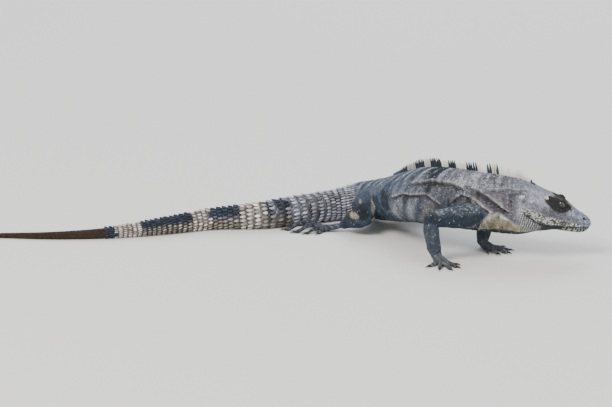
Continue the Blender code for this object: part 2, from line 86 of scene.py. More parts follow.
# How square the section is below and above its widest line: station, power (2 is round).
lowerSquareness = (
    (0, 2.2), (50, 2.0), (80, 1.5), (108, 1.5), (140, 2.0), (200, 2.3), (330, 2.3), (400, 2.1), (940, 2),
)
upperSquareness = (
    (0, 2.2), (30, 2.5), (60, 2.4), (90, 2.0), (130, 1.85), (300, 1.85), (400, 2.0), (940, 2),
)
# Swellings of the head: station, angle up from the side, length, spread in degrees, height.
headRelief = {
    "brow": (43, 64, 10, 11, 2.6),
    "canthus": (22, 42, 12, 12, 1.6),
    "eyeHollow": (43, 45, 8, 13, -1.8),
    "temple": (60, 38, 12, 20, 1.0),
    "cheekHollow": (24, 4, 9, 18, -1.3),
    "jowl": (74, -26, 13, 20, 4.0),
    "nostrilSwelling": (7, 34, 5, 16, 1.0),
    "crownDip": (46, 90, 16, 16, -1.6),
}
# The mouth: station, and height against the line through the body.
mouthLine = (
    (-6, -2.5), (4, -3.6), (14, -6.0), (27, -9.8), (40, -12.9), (52, -13.9), (64, -10.9), (72, -6.5),
    (79, -3.2),
)
eye = {"station": 43.0, "side": 12.3, "height": 13.8, "radius": 5.6}


# a smooth curve through the rows of a table
def through(table, at, column=1):
    xs = np.array([row[0] for row in table], float)
    ys = np.array([row[column] for row in table], float)
    slopes = np.gradient(ys, xs)
    at = np.clip(np.asarray(at, float), xs[0], xs[-1])
    i = np.clip(np.searchsorted(xs, at) - 1, 0, len(xs) - 2)
    step = xs[i + 1] - xs[i]
    u = (at - xs[i]) / step
    rise, bend = u * u * (3 - 2 * u), u * (1 - u)
    return ys[i] * (1 - rise) + ys[i + 1] * rise + step * bend * ((1 - u) * slopes[i] - u * slopes[i + 1])


def unit(vectors):
    vectors = np.asarray(vectors, float)
    return vectors / np.maximum(np.linalg.norm(vectors, axis=-1, keepdims=True), 1e-9)


# straight lines through the rows of a table
def straight(table, at):
    return np.interp(at, *zip(*table))


def smoothStep(low, high, at):
    share = np.clip((np.asarray(at, float) - low) / (high - low), 0, 1)
    return share * share * (3 - 2 * share)


# rises from 0 at low to 1 at full, stays, and falls from 1 at ebb to 0 at end
def between(at, low, full, ebb, end):
    return smoothStep(low, full, at) * smoothStep(end, ebb, at)


# places on the line through the body, and with lineFrames also the ways forward, left and up there
def linePoints(stations):
    return np.stack([through(bodyLine, stations, column) for column in (1, 2, 3)], axis=-1)


def lineFrames(stations):
    stations = np.asarray(stations, float)
    forward = unit(linePoints(np.maximum(stations - 2, 0)) - linePoints(np.minimum(stations + 2, tailTip)))
    left = unit(np.cross(np.array([0.0, 0.0, 1.0]), forward))
    return linePoints(stations), forward, left, np.cross(forward, left)


def girthAt(stations, grow=0.0):
    stations = np.asarray(stations, float)
    blunt = np.sqrt(np.clip(1 - (1 - np.minimum(stations / snout["radius"], 1)) ** 2, snout["flatness"], 1))
    wide, high, deep = (through(bodyGirth, stations, column) * blunt + grow for column in (1, 2, 3))
    return wide, high, deep, blunt


# how far the swellings of the head stand out
def reliefAt(stations, fromSide):
    height = np.zeros(np.broadcast(stations, fromSide).shape)
    for where, up, length, spread, rise in headRelief.values():
        height += rise * np.exp(-0.5 * (((stations - where) / length) ** 2 + ((fromSide - up) / spread) ** 2))
    return height


# angle is 0 on the right side, 90 on the back, 180 on the left side and -90 on the belly
def bodySurface(stations, angles, grow=0.0):
    stations, angles = np.broadcast_arrays(np.asarray(stations, float), np.asarray(angles, float))
    here, _, left, up = lineFrames(stations)
    wide, high, deep, blunt = girthAt(stations, grow)
    across, over = np.cos(np.radians(angles)), np.sin(np.radians(angles))
    power = 2 / np.where(over > 0, through(upperSquareness, stations), through(lowerSquareness, stations))
    side = -wide * np.sign(across) * np.abs(across) ** power
    rise = np.where(over > 0, high, deep) * np.sign(over) * np.abs(over) ** power
    fromSide = np.degrees(np.arctan2(over, np.abs(across)))
    swell = 1 + reliefAt(stations, fromSide) * blunt / np.maximum(wide, high)
    return here + left * (side * swell)[..., None] + up * (rise * swell)[..., None]


lineStep = 3.0
lineSamples = np.append(np.arange(0, tailTip, lineStep), tailTip)
lineHere, lineForward, lineLeft, lineUp = lineFrames(lineSamples)


# which of a few round centres each point lies nearest to, and how far outside its radius
def nearestOf(points, centres, radii, chunk=4096):
    found = np.empty(len(points), int)
    quick, middles = points.astype(np.float32), centres.astype(np.float32)
    sizes = np.broadcast_to(np.asarray(radii, np.float32), len(centres))
    squares = (middles ** 2).sum(1)
    for start in range(0, len(points), chunk):
        part = quick[start:start + chunk]
        apart = (part ** 2).sum(1)[:, None] + squares - 2 * part @ middles.T
        found[start:start + chunk] = (np.sqrt(np.maximum(apart, 0)) - sizes).argmin(1)
    return found, np.linalg.norm(points - centres[found], axis=1) - sizes[found]


# the inverse of bodySurface: station, angle, and how far outside the surface each point lies
def placeOf(points):
    index, _ = nearestOf(points, lineHere, 0.0)
    away = points - lineHere[index]
    stations = lineSamples[index] - (away * lineForward[index]).sum(1)
    stations = np.clip(stations, 0, tailTip)
    side, rise = (away * lineLeft[index]).sum(1), (away * lineUp[index]).sum(1)
    wide, high, deep, _ = girthAt(stations)
    tall = np.where(rise > 0, high, deep)
    power = np.where(rise > 0, through(upperSquareness, stations), through(lowerSquareness, stations)) / 2
    across = -np.sign(side) * (np.abs(side) / wide) ** power
    over = np.sign(rise) * (np.abs(rise) / tall) ** power
    angles = np.degrees(np.arctan2(over, across))
    share = np.hypot(across, over) ** (1 / power)
    fromSide = np.degrees(np.arctan2(over, np.abs(across)))
    reach = np.hypot(side, rise)
    gap = reach - reach / np.maximum(share, 1e-6) - reliefAt(stations, fromSide)
    return stations, angles, gap


def eyeCentre(side):
    here, _, left, up = (row[0] for row in lineFrames([eye["station"]]))
    return here + left * eye["side"] * side + up * eye["height"]


eyeLow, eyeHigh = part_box("eye_right")
modelShift = np.array((eyeLow + eyeHigh) / 2) - eyeCentre(-1) * mm


def place(points):
    return np.asarray(points, float) * mm + modelShift


# Joints of each limb: x, y, z and the flesh's radius there. "right" is the side that faces the camera.
limbPaths = {
    "right": {
        "upperArm": ((52, 30, 60, 12.5), (38, 10, 57, 13), (12, 1, 54.5, 12.8), (-12, -1, 53, 9.2)),
        "forearm": ((-12, -1, 52, 7.6), (-11, -1, 40, 9.8), (-8, -1, 22, 9), (-5, -2, 9, 7)),
        "palm": ((-5, -2, 8.5, 5.4), (-1, -8, 5.2, 8.6), (2, -13, 4, 8.4)),
        "thigh": ((-60, 190, 28, 16), (-78, 170, 29, 18.8), (-86, 146, 28, 17.8), (-88, 124, 25, 12.5)),
        "shank": ((-88, 124, 24, 9.6), (-95, 130, 20, 12.4), (-105, 138, 14.5, 9.2), (-112, 143, 10, 6.4)),
        "sole": ((-112, 143, 9.2, 5), (-125, 146, 5.4, 7), (-138, 147, 3.4, 7.4)),
        "headings": {"palm": -62, "sole": 187},
        "arches": {"palm": 5, "sole": 8},
    },
    "left": {
        "upperArm": ((50, 50, 60, 13), (58, 64, 59, 13), (62, 84, 55, 12), (60, 98, 50, 9.4)),
        "forearm": ((60, 97, 49, 8), (59, 89, 36, 10.4), (57, 76, 21, 9.6), (54, 66, 9, 7.2)),
        "palm": ((54, 66, 8.5, 5.4), (58, 60, 5.2, 8.6), (62, 54, 4, 8.4)),
        "thigh": ((-70, 182, 29, 17), (-52, 198, 29, 18.5), (-28, 203, 28, 17), (-4, 203, 26, 12)),
        "shank": ((-4, 203, 25, 9.5), (-11, 216, 21, 12.4), (-21, 233, 14.5, 9.4), (-28, 247, 9, 6.4)),
        "sole": ((-28, 247, 8.6, 5), (-18, 255, 5.2, 7.2), (-8, 262, 3.4, 7.4)),
        "headings": {"palm": -45, "sole": 42},
        "arches": {"palm": 5, "sole": 5},
    },
}
# Digits from the inner one outwards: angle from the heading, length, radius at root, radius at tip.
digits = {
    "palm": (
        (46, 12, 2.9, 2.0), (19, 19, 3.0, 2.0), (-7, 23, 3.1, 2.1), (-34, 20, 3.0, 2.0), (-74, 14, 2.9, 2.0),
    ),
    "sole": (
        (54, 14, 3.1, 2.0), (29, 24, 3.2, 2.0), (10, 34, 3.3, 2.1), (-8, 44, 3.4, 2.1), (-44, 27, 3.2, 2.0),
    ),
}
limbShape = {
    "digitInset": 3.0,        # how far back of the palm's end the digits start
    "longDigit": 30.0,        # a digit of this length has the foot's full arch
    "fan": 0.45,              # how far towards the palm's edge a digit starts
    "palmFlatness": 0.55,
    "knuckle": 0.08,
    # rings of a rounded end: how far out, and how wide, as shares of the radius
    "roundEnd": ((0.3, 0.954), (0.55, 0.835), (0.75, 0.66), (0.92, 0.39)),
}


def digitPaths(side, foot):
    limb = limbPaths[side]
    palm, heading, arch = limb[foot], limb["headings"][foot], limb["arches"][foot]
    turnWay = -1 if side == "left" else 1
    ahead = np.array([math.cos(math.radians(heading)), math.sin(math.radians(heading)), 0])
    end = np.array(palm[-1][:3], float) - ahead * limbShape["digitInset"]
    found = []
    for turn, length, radius, tipRadius in digits[foot]:
        angle = math.radians(heading + turn * turnWay)
        way = np.array([math.cos(angle), math.sin(angle), 0])
        root = end + way * palm[-1][3] * limbShape["fan"]
        middle, tip = root + way * length * 0.45, root + way * length
        high = max(arch * length / limbShape["longDigit"], radius)
        path = (
            (*root[:2], radius * 1.1, radius),
            (*middle[:2], high, radius * 0.92),
            (*tip[:2], tipRadius * 0.8, tipRadius),
        )
        found.append((path, way))
    return found


# the rings of points round a limb's path, with rounded ends
def tubeRings(path, count, steps, flat=1.0, grow=0.0, knuckles=0):
    table = [(i, *row) for i, row in enumerate(path)]
    at = np.linspace(0, len(path) - 1, (len(path) - 1) * steps + 1)
    centres = [np.array([float(through(table, t, column)) for column in (1, 2, 3)]) for t in at]
    radii = [float(through(table, t, 4)) + grow for t in at]
    if knuckles:
        swell = [limbShape["knuckle"] * math.cos(2 * math.pi * knuckles * t / at[-1]) for t in at]
        radii = [r * (1 + more) for r, more in zip(radii, swell)]
    start, finish = unit(centres[0] - centres[1]), unit(centres[-1] - centres[-2])
    first, end = (centres[0], radii[0]), (centres[-1], radii[-1])
    for out, wide in limbShape["roundEnd"]:
        centres.insert(0, first[0] + start * first[1] * out)
        radii.insert(0, first[1] * wide)
        centres.append(end[0] + finish * end[1] * out)
        radii.append(end[1] * wide)
    rings, side = [], None
    for i, (centre, radius) in enumerate(zip(centres, radii)):
        along = unit(centres[min(i + 1, len(centres) - 1)] - centres[max(i - 1, 0)])
        if side is None:
            side = np.cross(along, [0, 0, 1] if abs(along[2]) < 0.9 else [1, 0, 0])
        side = unit(side - along * np.dot(side, along))
        up = np.cross(side, along)
        turns = np.linspace(0, 2 * math.pi, count, endpoint=False)[:, None]
        ring = centre + radius * (np.cos(turns) * side + np.sin(turns) * up)
        ring[:, 2] = centre[2] + (ring[:, 2] - centre[2]) * flat
        rings.append(ring)
    return rings, np.array(centres), np.array(radii)


# every length of limb and every digit, by name: its path and how flat it is
def limbParts():
    found = {}
    for side in ("right", "left"):
        limb = limbPaths[side]
        for part in ("upperArm", "forearm", "thigh", "shank"):
            found[f"{part}.{side}"] = (limb[part], 1.0, 0)
        for foot in ("palm", "sole"):
            found[f"{foot}.{side}"] = (limb[foot], limbShape["palmFlatness"], 0)
            for i, (path, _) in enumerate(digitPaths(side, foot)):
                found[f"{foot}Digit{i + 1}.{side}"] = (path, 1.0, 2)
    return found


limbs = limbParts()
limbNames = list(limbs)


# an sRGB hex value as the linear colour that shaders and lights take
def colourOf(hexColour):
    values = [int(hexColour[i:i + 2], 16) / 255 for i in (1, 3, 5)]
    return np.array([v / 12.92 if v <= 0.04045 else ((v + 0.055) / 1.055) ** 2.4 for v in values])


def addNode(material, kind, settings=None, links=None):
    tree = material.node_tree
    node = tree.nodes.new(kind)
    for key, value in (settings or {}).items():
        if key in node.inputs:
            node.inputs[key].default_value = value
        else:
            setattr(node, key, value)
    for key, source in (links or {}).items():
        tree.links.new(source, node.inputs[key])
    return node


def newMaterial(name, colour, roughness):
    material = bpy.data.materials.new(name)
    material.use_nodes = True
    shader = material.node_tree.nodes["Principled BSDF"]
    shader.inputs["Base Color"].default_value = (*colourOf(colour), 1)
    shader.inputs["Roughness"].default_value = roughness
    return material, shader


def deselectAll():
    if bpy.context.object and bpy.context.object.mode != "OBJECT":
        bpy.ops.object.mode_set(mode="OBJECT")
    bpy.ops.object.select_all(action="DESELECT")


def makeActive(piece):
    deselectAll()
    piece.select_set(True)
    bpy.context.view_layer.objects.active = piece


def readPoints(piece):
    values = np.empty(len(piece.data.vertices) * 3, np.float32)
    piece.data.vertices.foreach_get("co", values)
    return values.reshape(-1, 3).astype(float)


# each corner's colour, which the materials read
def writeMarking(mesh, colours):
    painted = np.ones((len(colours), 4), np.float32)
    painted[:, :3] = colours
    mesh.attributes.new("marking", "FLOAT_COLOR", "POINT").data.foreach_set("color", painted.ravel())


# selects the edited mesh's corners that a test picks, and nothing else
def selectCorners(piece, test):
    bpy.ops.object.mode_set(mode="OBJECT")
    for part in (piece.data.polygons, piece.data.edges):
        for item in part:
            item.select = False
    for corner in piece.data.vertices:
        corner.select = bool(test(corner.co))
    bpy.ops.object.mode_set(mode="EDIT")


# models one scale, spine or claw with a function, and returns its points and faces, to be copied
def modelled(build, **values):
    deselectAll()
    build(**values)
    if bpy.context.object.mode != "OBJECT":
        bpy.ops.object.mode_set(mode="OBJECT")
    piece = bpy.context.object
    points = readPoints(piece)
    faces = [tuple(polygon.vertices) for polygon in piece.data.polygons]
    bpy.data.objects.remove(piece)
    return points, faces


bakePatch = 0.003     # how wide each copy's patch of the OFBake map is
floorGap = 0.02       # how far above the floor the lowest corners stay


# many copies of a modelled shape as one joined mesh. Each has its root, its lie, its way out, its size along
# those and its colour, and a small patch of the OFBake map at its place on the animal's own unwrap.
def joinedCopies(name, pattern, roots, lie, out, sizes, colours, unwrap, material, shading=(0.8, 1.1)):
    points, faces = pattern
    count, corners = len(roots), len(points)
    out = unit(out)
    lie = unit(lie - out * (lie * out).sum(1, keepdims=True))
    across = np.cross(out, lie)
    sizes = np.broadcast_to(np.asarray(sizes, float), (count, 3))
    local = points[None] * sizes[:, None]
    where = roots[:, None] + lie[:, None] * local[..., :1] + across[:, None] * local[..., 1:2]
    where = where + out[:, None] * local[..., 2:]
    where[..., 2] = np.maximum(where[..., 2], floorGap)
    ends = np.array([corner for polygon in faces for corner in polygon])
    starts = np.cumsum([0] + [len(polygon) for polygon in faces[:-1]])
    mesh = bpy.data.meshes.new(name)
    mesh.vertices.add(count * corners)
    mesh.vertices.foreach_set("co", place(where.reshape(-1, 3)).astype(np.float32).ravel())
    mesh.loops.add(count * len(ends))
    number = np.arange(count)[:, None]
    mesh.loops.foreach_set("vertex_index", (number * corners + ends).astype(np.int32).ravel())
    mesh.polygons.add(count * len(faces))
    mesh.polygons.foreach_set("loop_start", (number * len(ends) + starts).astype(np.int32).ravel())
    mesh.update(calc_edges=True)
    # painted shade at each copy's base and a painted highlight on its top
    low, high = points[:, 2].min(), points[:, 2].max()
    shade = shading[0] + (shading[1] - shading[0]) * (points[:, 2] - low) / (high - low)
    writeMarking(mesh, (colours[:, None] * shade[None, :, None]).reshape(-1, 3))
    spread = (points[:, :2] - points[:, :2].mean(0)) / np.ptp(points[:, :2], axis=0).max()
    patch = (unwrap[:, None] + bakePatch * spread[None])[:, ends]
    layer = mesh.uv_layers.new(name="OFBake")
    layer.uv.foreach_set("vector", patch.astype(np.float32).ravel())
    piece = bpy.data.objects.new(name, mesh)
    bpy.context.scene.collection.objects.link(piece)
    mesh.materials.append(material)
    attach(piece, "root")
    print("stage:", name, "with", count, "copies and", count * (len(ends) - 2 * len(faces)), "triangles")
    return piece


# Folds of loose skin on both sides, each along a path of (station, angle). The skin stands up on one side of
# the path (lip) and sinks on the other (trough). The lip is on the path's upper side, unless above is -1.
folds = {
    "flankFold": dict(path=((241, 0), (232, 5), (223, 9), (213, 11), (206, 9), (198, 11), (186, 14)),
                      lip=2.4, fall=9, trough=2.6, width=4.6),
    "elbowFold": dict(path=((190, 16), (182, 13), (174, 5), (164, -6)),
                      lip=1.6, fall=8, trough=2.2, width=5.0),
    "shoulderFold": dict(path=((212, 33), (196, 37), (184, 41), (170, 42), (156, 41), (148, 36), (142, 26)),
                         lip=2.0, fall=10, trough=2.8, width=5.5),
    "shoulderArch": dict(path=((155, 0), (151, 12), (145, 22), (139, 18), (135, 6), (131, -10)),
                         lip=1.4, fall=5, trough=2.0, width=4.0),
    "neckGroove": dict(path=((137, 34), (131, 32), (124, 25), (117, 17), (109, 7), (102, -5), (97, -14)),
                       lip=2.0, fall=8, trough=4.6, width=7.5),
    "neckFold": dict(path=((141, 22), (135, 14), (128, 4), (121, -7), (114, -19)),
                     lip=2.6, fall=4.5, trough=2.8, width=4.0),
    "tympanicFold": dict(path=((124, 32), (113, 38), (104, 41), (96, 42), (88, 45), (78, 56)),
                         lip=1.3, fall=7, trough=1.6, width=3.2),
    "earCrease": dict(path=((103, 31), (96, 36), (90, 40), (82, 43)),
                      lip=0.7, fall=3, trough=1.9, width=2.4),
    "dewlapRim": dict(path=((134, -72), (130, -52), (124, -33), (117, -20), (109, -18), (101, -28)),
                      lip=1.7, fall=3.4, trough=1.4, width=4.0, above=-1),
    # the groin fold's lip gets no painted highlight
    "groinFold": dict(path=((244, 20), (247, 6), (249, -14), (252, -36)),
                      lip=1.8, fall=12, trough=2.4, width=5.5, lipHighlight=0),
    "chestFold": dict(path=((131, -20), (140, -32), (150, -42), (162, -50)),
                      lip=1.6, fall=6, trough=2.0, width=4),
    "chestFoldLow": dict(path=((128, -34), (136, -46), (148, -56)),
                         lip=1.2, fall=5, trough=1.6, width=3.5),
}
foldLook = {
    "window": 25,             # how far along the body a fold is felt, in mm
    "fadeShare": 0.12,        # the share of its path over which each end fades
    "edge": (-1.3, 1.0),      # where the trough turns into the lip
    "reach": 16, "reachFall": 5,
    "fullShade": 2.0,         # a trough this deep is as dark as the others get
    # where the painted highlight on a fold's lip lies, how wide it is, and how high a lip gets all of it
    "lipHighlightAt": 1.6, "lipHighlightWidth": 1.3, "fullHighlightLip": 2.2,
}


# the same angle on the right side, whichever side it is on
def foldedAngle(angles):
    return np.where(np.abs(angles) > 90, np.sign(angles) * 180 - angles, angles)


# how many mm one degree round the body is, at each station
def arcScale(stations):
    wide, high, deep, _ = girthAt(stations)
    return np.radians(1.0) * (2 * wide + high + deep) / 4


# signed distance in mm from a path of (station, angle), and the share of the way along it
def pathDistance(stations, angles, path):
    path = np.array(path, float)
    xs, ys = path[:, 0], path[:, 1] * arcScale(path[:, 0])
    x, y = stations, angles * arcScale(stations)
    lengths = np.hypot(np.diff(xs), np.diff(ys))
    starts = np.concatenate([[0], np.cumsum(lengths)]) / lengths.sum()
    nearest = np.full(len(x), 1e9)
    signed, share = np.zeros(len(x)), np.zeros(len(x))
    for i, length in enumerate(lengths):
        dx, dy = (xs[i + 1] - xs[i]) / length, (ys[i + 1] - ys[i]) / length
        t = np.clip((x - xs[i]) * dx + (y - ys[i]) * dy, 0, length)
        offX, offY = x - xs[i] - t * dx, y - ys[i] - t * dy
        gap = np.hypot(offX, offY)
        closer = gap < nearest
        turn = np.sign(dy * offX - dx * offY)
        nearest = np.where(closer, gap, nearest)
        signed = np.where(closer, gap * turn, signed)
        share = np.where(closer, starts[i] + (starts[i + 1] - starts[i]) * t / length, share)
    return signed, share


# how far the folds lift the skin, how much painted shade their troughs get, and where a painted
# highlight lies along their lips
def foldsAt(stations, angles):
    fromSide, look = foldedAngle(angles), foldLook
    lift, shade, lipHighlight = (np.zeros(len(stations)) for _ in range(3))
    for fold in folds.values():
        along = [station for station, _ in fold["path"]]
        near = (stations > min(along) - look["window"]) & (stations < max(along) + look["window"])
        near = np.nonzero(near)[0]
        if not len(near):
            continue
        signed, share = pathDistance(stations[near], fromSide[near], fold["path"])
        signed = signed * fold.get("above", 1)
        fade = smoothStep(0, look["fadeShare"], share) * smoothStep(1, 1 - look["fadeShare"], share)
        onLip = smoothStep(*look["edge"], signed)
        lipShape = np.exp(-np.maximum(signed, 0) / fold["fall"]) * onLip
        troughShape = np.exp(-(np.minimum(signed, 0) / fold["width"]) ** 2) * (1 - onLip)
        reach = np.exp(-(np.maximum(np.abs(signed) - look["reach"], 0) / look["reachFall"]) ** 2)
        lift[near] += fade * reach * (fold["lip"] * lipShape - fold["trough"] * troughShape)
        dark = fade * troughShape ** 0.8 * min(fold["trough"] / look["fullShade"], 1)
        shade[near] = np.maximum(shade[near], dark)
        # a painted highlight along each lip, a little above the path
        lipHighlightBand = np.exp(-((signed - look["lipHighlightAt"]) / look["lipHighlightWidth"]) ** 2)
        lipHighlightBand = fade * lipHighlightBand * min(fold["lip"] / look["fullHighlightLip"], fold.get("lipHighlight", 1))
        lipHighlight[near] = np.maximum(lipHighlight[near], lipHighlightBand)
    return lift, shade, lipHighlight


# noise between 0 and 1, the same for the same place and seed; size is the width of its lumps in mm
def smoothNoise(points, size, seed):
    lattice = np.random.default_rng(seed).random((32, 32, 32))
    at = np.asarray(points, float) / size
    low = np.floor(at).astype(int)
    part = at - low
    part = part * part * (3 - 2 * part)
    total = np.zeros(len(at))
    for corner in range(8):
        step = np.array([corner & 1, corner >> 1 & 1, corner >> 2 & 1])
        weight = np.prod(np.where(step, part, 1 - part), axis=1)
        x, y, z = ((low + step) % 32).T
        total += weight * lattice[x, y, z]
    return total


# noise that runs in streaks round the body: longer across the back than along it
def streakNoise(stations, angles, along, around, seed):
    flat = np.column_stack([stations / along, angles * arcScale(stations) / around, np.zeros(len(stations))])
    return smoothNoise(flat, 1.0, seed)


# a closed mesh through rings of equally many points
def ringsMesh(name, rings):
    count = len(rings[0])
    j = np.arange(count)
    k = (j + 1) % count
    quads = [np.stack([i * count + j, i * count + k, (i + 1) * count + k, (i + 1) * count + j], axis=1)
             for i in range(len(rings) - 1)]
    faces = np.concatenate(quads).tolist()
    faces.append(list(range(count))[::-1])
    faces.append(list(range((len(rings) - 1) * count, len(rings) * count)))
    mesh = bpy.data.meshes.new(name)
    mesh.from_pydata(place(np.concatenate(rings)).tolist(), [], faces)
    piece = bpy.data.objects.new(name, mesh)
    bpy.context.scene.collection.objects.link(piece)
    makeActive(piece)
    bpy.ops.object.mode_set(mode="EDIT")
    bpy.ops.mesh.select_all(action="SELECT")
    bpy.ops.mesh.normals_make_consistent(inside=False)
    bpy.ops.object.mode_set(mode="OBJECT")
    return piece


def applyModifier(piece, kind, **settings):
    makeActive(piece)
    step = piece.modifiers.new(kind.lower(), kind)
    for key, value in settings.items():
        setattr(step, key, value)
    bpy.ops.object.modifier_apply(modifier=step.name)


skin = {
    "inset": 0.7,         # how far the skin lies inside the scales' outer faces
    "limbInset": 0.6,
    "digitInset": 0.35,
    "voxel": 0.8,
    "around": 120,
    "limbAround": 40, "digitAround": 20,
    "lowest": 0.2, "bodyLowest": 0.25,     # how far above the floor the skin stays
    "triangles": 190000,
    "joinReach": 5.0,     # how wide the soft fillet between two lengths is
    "joinRounds": 16, "allRounds": 2,
    # the inset's share along the body: station, share
    "insetShare": ((0, 0.6), (60, 0.9), (690, 0.8), (800, 0.5), (940, 0.4)),
}


# closed meshes of the body and of every length of limb, to be joined as one skin
def skinParts():
    stations = np.concatenate([
        np.array([0, 0.3, 0.8, 1.6, 2.6, 4, 5.5]), np.arange(7, 100, 1.0), np.arange(100, 360, 2.0),
        np.arange(360, tailTip + 1, 2.5),
    ])
    angles = np.linspace(0, 360, skin["around"], endpoint=False)
    inset = skin["inset"] * straight(skin["insetShare"], stations)
    body = [bodySurface(s, (angles + 180) % 360 - 180, -i) for s, i in zip(stations, inset)]
    body = [np.column_stack([ring[:, :2], np.maximum(ring[:, 2], skin["bodyLowest"])]) for ring in body]
    made = [ringsMesh("skinBody", body)]
    for name, (path, flat, knuckles) in limbs.items():
        digit = "Digit" in name
        count, inset = (skin[("digit" if digit else "limb") + word] for word in ("Around", "Inset"))
        rings, _, _ = tubeRings(path, count, 8, flat, -inset, knuckles)
        rings = [np.column_stack([ring[:, :2], np.maximum(ring[:, 2], skin["lowest"])]) for ring in rings]
        made.append(ringsMesh("skin" + name.replace(".", "_"), rings))
    return made


def readNormals(piece):
    values = np.empty(len(piece.data.vertices) * 3, np.float32)
    piece.data.vertex_normals.foreach_get("vector", values)
    return values.reshape(-1, 3).astype(float)


def toModel(points):
    return (points - modelShift) / mm


# samples along every limb, which tell a point's limb, its share of the way along it and its gap to it
limbCentres, limbRadii, limbIndex, limbShares = [], [], [], []
for number, (path, flat, knuckles) in enumerate(limbs.values()):
    _, centres, radii = tubeRings(path, 4, 4, flat, 0.0, knuckles)
    limbCentres.append(centres)
    limbRadii.append(radii)
    limbIndex.append(np.full(len(radii), number))
    limbShares.append(np.linspace(0, 1, len(radii)))
limbCentres, limbRadii = np.concatenate(limbCentres), np.concatenate(limbRadii)
limbIndex, limbShares = np.concatenate(limbIndex), np.concatenate(limbShares)


def limbOf(points):
    index, gap = nearestOf(points, limbCentres, limbRadii)
    return limbIndex[index], limbShares[index], gap


# a group of the corners by weight, in a few steps
def weightGroup(piece, name, weights, steps=16):
    group = piece.vertex_groups.new(name=name)
    levels = np.round(np.clip(weights, 0, 1) * steps).astype(int)
    for level in range(1, steps + 1):
        chosen = np.nonzero(levels == level)[0]
        if len(chosen):
            group.add(chosen.tolist(), level / steps, "REPLACE")


# one watertight skin from all parts, softened where they join
def makeSkin():
    parts = skinParts()
    deselectAll()
    for part in parts:
        part.select_set(True)
    bpy.context.view_layer.objects.active = parts[0]
    bpy.ops.object.join()
    piece = bpy.context.object
    piece.name = piece.data.name = "skin"
    applyModifier(piece, "REMESH", mode="VOXEL", voxel_size=skin["voxel"] * mm, adaptivity=0.0)
    print("stage: skin remeshed,", len(piece.data.polygons), "faces")
    points = toModel(readPoints(piece))
    _, _, bodyGap = placeOf(points)
    _, _, limbGap = limbOf(points)
    joins = np.exp(-((np.abs(bodyGap) + np.abs(limbGap)) / skin["joinReach"]) ** 2)
    for name, (path, _, _) in limbs.items():
        if name.split(".")[0] in ("forearm", "shank", "palm", "sole"):
            x, y, z, radius = path[0]
            far = np.linalg.norm(points - np.array([x, y, z]), axis=1)
            joins = np.maximum(joins, 0.9 * smoothStep(radius * 1.7, radius * 1.1, far))
    weightGroup(piece, "joins", joins)
    applyModifier(piece, "SMOOTH", factor=0.5, iterations=skin["joinRounds"], vertex_group="joins")
    applyModifier(piece, "SMOOTH", factor=0.5, iterations=skin["allRounds"])
    piece.vertex_groups.clear()
    return piece


skinPiece = makeSkin()


face = {
    "lipGroove": 1.5, "lipGrooveWidth": 0.9,
    "nostril": (11.5, 38), "nostrilRadius": 1.5, "nostrilDepth": 1.9, "nostrilRim": 0.5,
    "eyeTurn": 6.0,            # how far forward the eye looks, in degrees
    "eyeLift": 12.0,
    "lidClearance": 0.75,      # how far the lids stand off the eyeball
    "topClearance": 0.35,      # the same over its top and inner side
    "openLong": 4.3, "openHigh": 2.5,
    "hollow": 1.6,
    "socketReach": 11.0,
}


# the angle at which the mouth lies at each station
def lipAngle(stations):
    stations = np.asarray(stations, float)
    _, _, deep, _ = girthAt(stations)
    height = -through(mouthLine, stations)
    power = through(lowerSquareness, stations) / 2
    return -np.degrees(np.arcsin(np.clip(height / deep, 0, 0.98) ** power))


# the eye's centre, the way it looks, and the directions forward and up along the lids
def eyeFrame(side):
    centre = eyeCentre(side)
    _, forward, left, up = (row[0] for row in lineFrames([eye["station"]]))
    turn, lift = math.radians(face["eyeTurn"]), math.radians(face["eyeLift"])
    outward = left * side * math.cos(turn) * math.cos(lift)
    look = unit(outward + forward * math.sin(turn) + up * math.sin(lift))
    ahead = unit(forward - look * np.dot(forward, look))
    return centre, look, ahead, np.cross(ahead, look) * -side


ear = {
    "station": 83.5, "angle": 22.0, "radius": 4.3, "depth": 0.9, "thick": 0.7,
    "paleRim": (0.35, 0.95),      # where its colour turns to the pale of the rim, as shares of its radius
    "mottle": (1.4, 0.45, 0.5),   # lumps in mm, the darkest shade and what the noise adds
}


def earCentre(side):
    angle = ear["angle"] if side < 0 else 180 - ear["angle"]
    return bodySurface(np.array([ear["station"]]), np.array([angle]))[0]


# moves points near an eye to lids that follow the eyeball, and to the eye's hollow where the lids are open
def shapeEyes(points):
    for side in (-1, 1):
        centre, look, ahead, over = eyeFrame(side)
        away = points - centre
        reach = np.linalg.norm(away, axis=1)
        near = np.nonzero((reach < face["socketReach"]) & (away @ look > -1.0))[0]
        way = unit(away[near])
        x, y = way @ ahead * eye["radius"], way @ over * eye["radius"]
        almond = face["openHigh"] * np.clip(1 - (x / face["openLong"]) ** 2, 0, 1)
        opening = (np.abs(y) < almond) & (way @ look > 0)
        facing = smoothStep(-0.5, 0.5, way @ look - 0.7 * np.maximum(way @ over, 0))
        clearance = face["topClearance"] + (face["lidClearance"] - face["topClearance"]) * facing
        lidRadius = eye["radius"] + clearance
        outer = np.maximum(reach[near], lidRadius)
        blend = smoothStep(face["socketReach"], lidRadius + 1.5, reach[near])
        outer = reach[near] + (outer - reach[near]) * np.maximum(blend, (reach[near] < lidRadius))
        inner = np.full(len(near), eye["radius"] - face["hollow"])
        points[near] = centre + way * np.where(opening, inner, outer)[:, None]


# how wide in mm the wrinkles and lumps of the skin are, and how high
wrinkles = {
    "along": 3.2, "around": 14, "height": 0.9,
    "lumps": 9, "lumpHeight": 0.8,
    "limbLumps": 8, "limbHeight": 1.5,
}


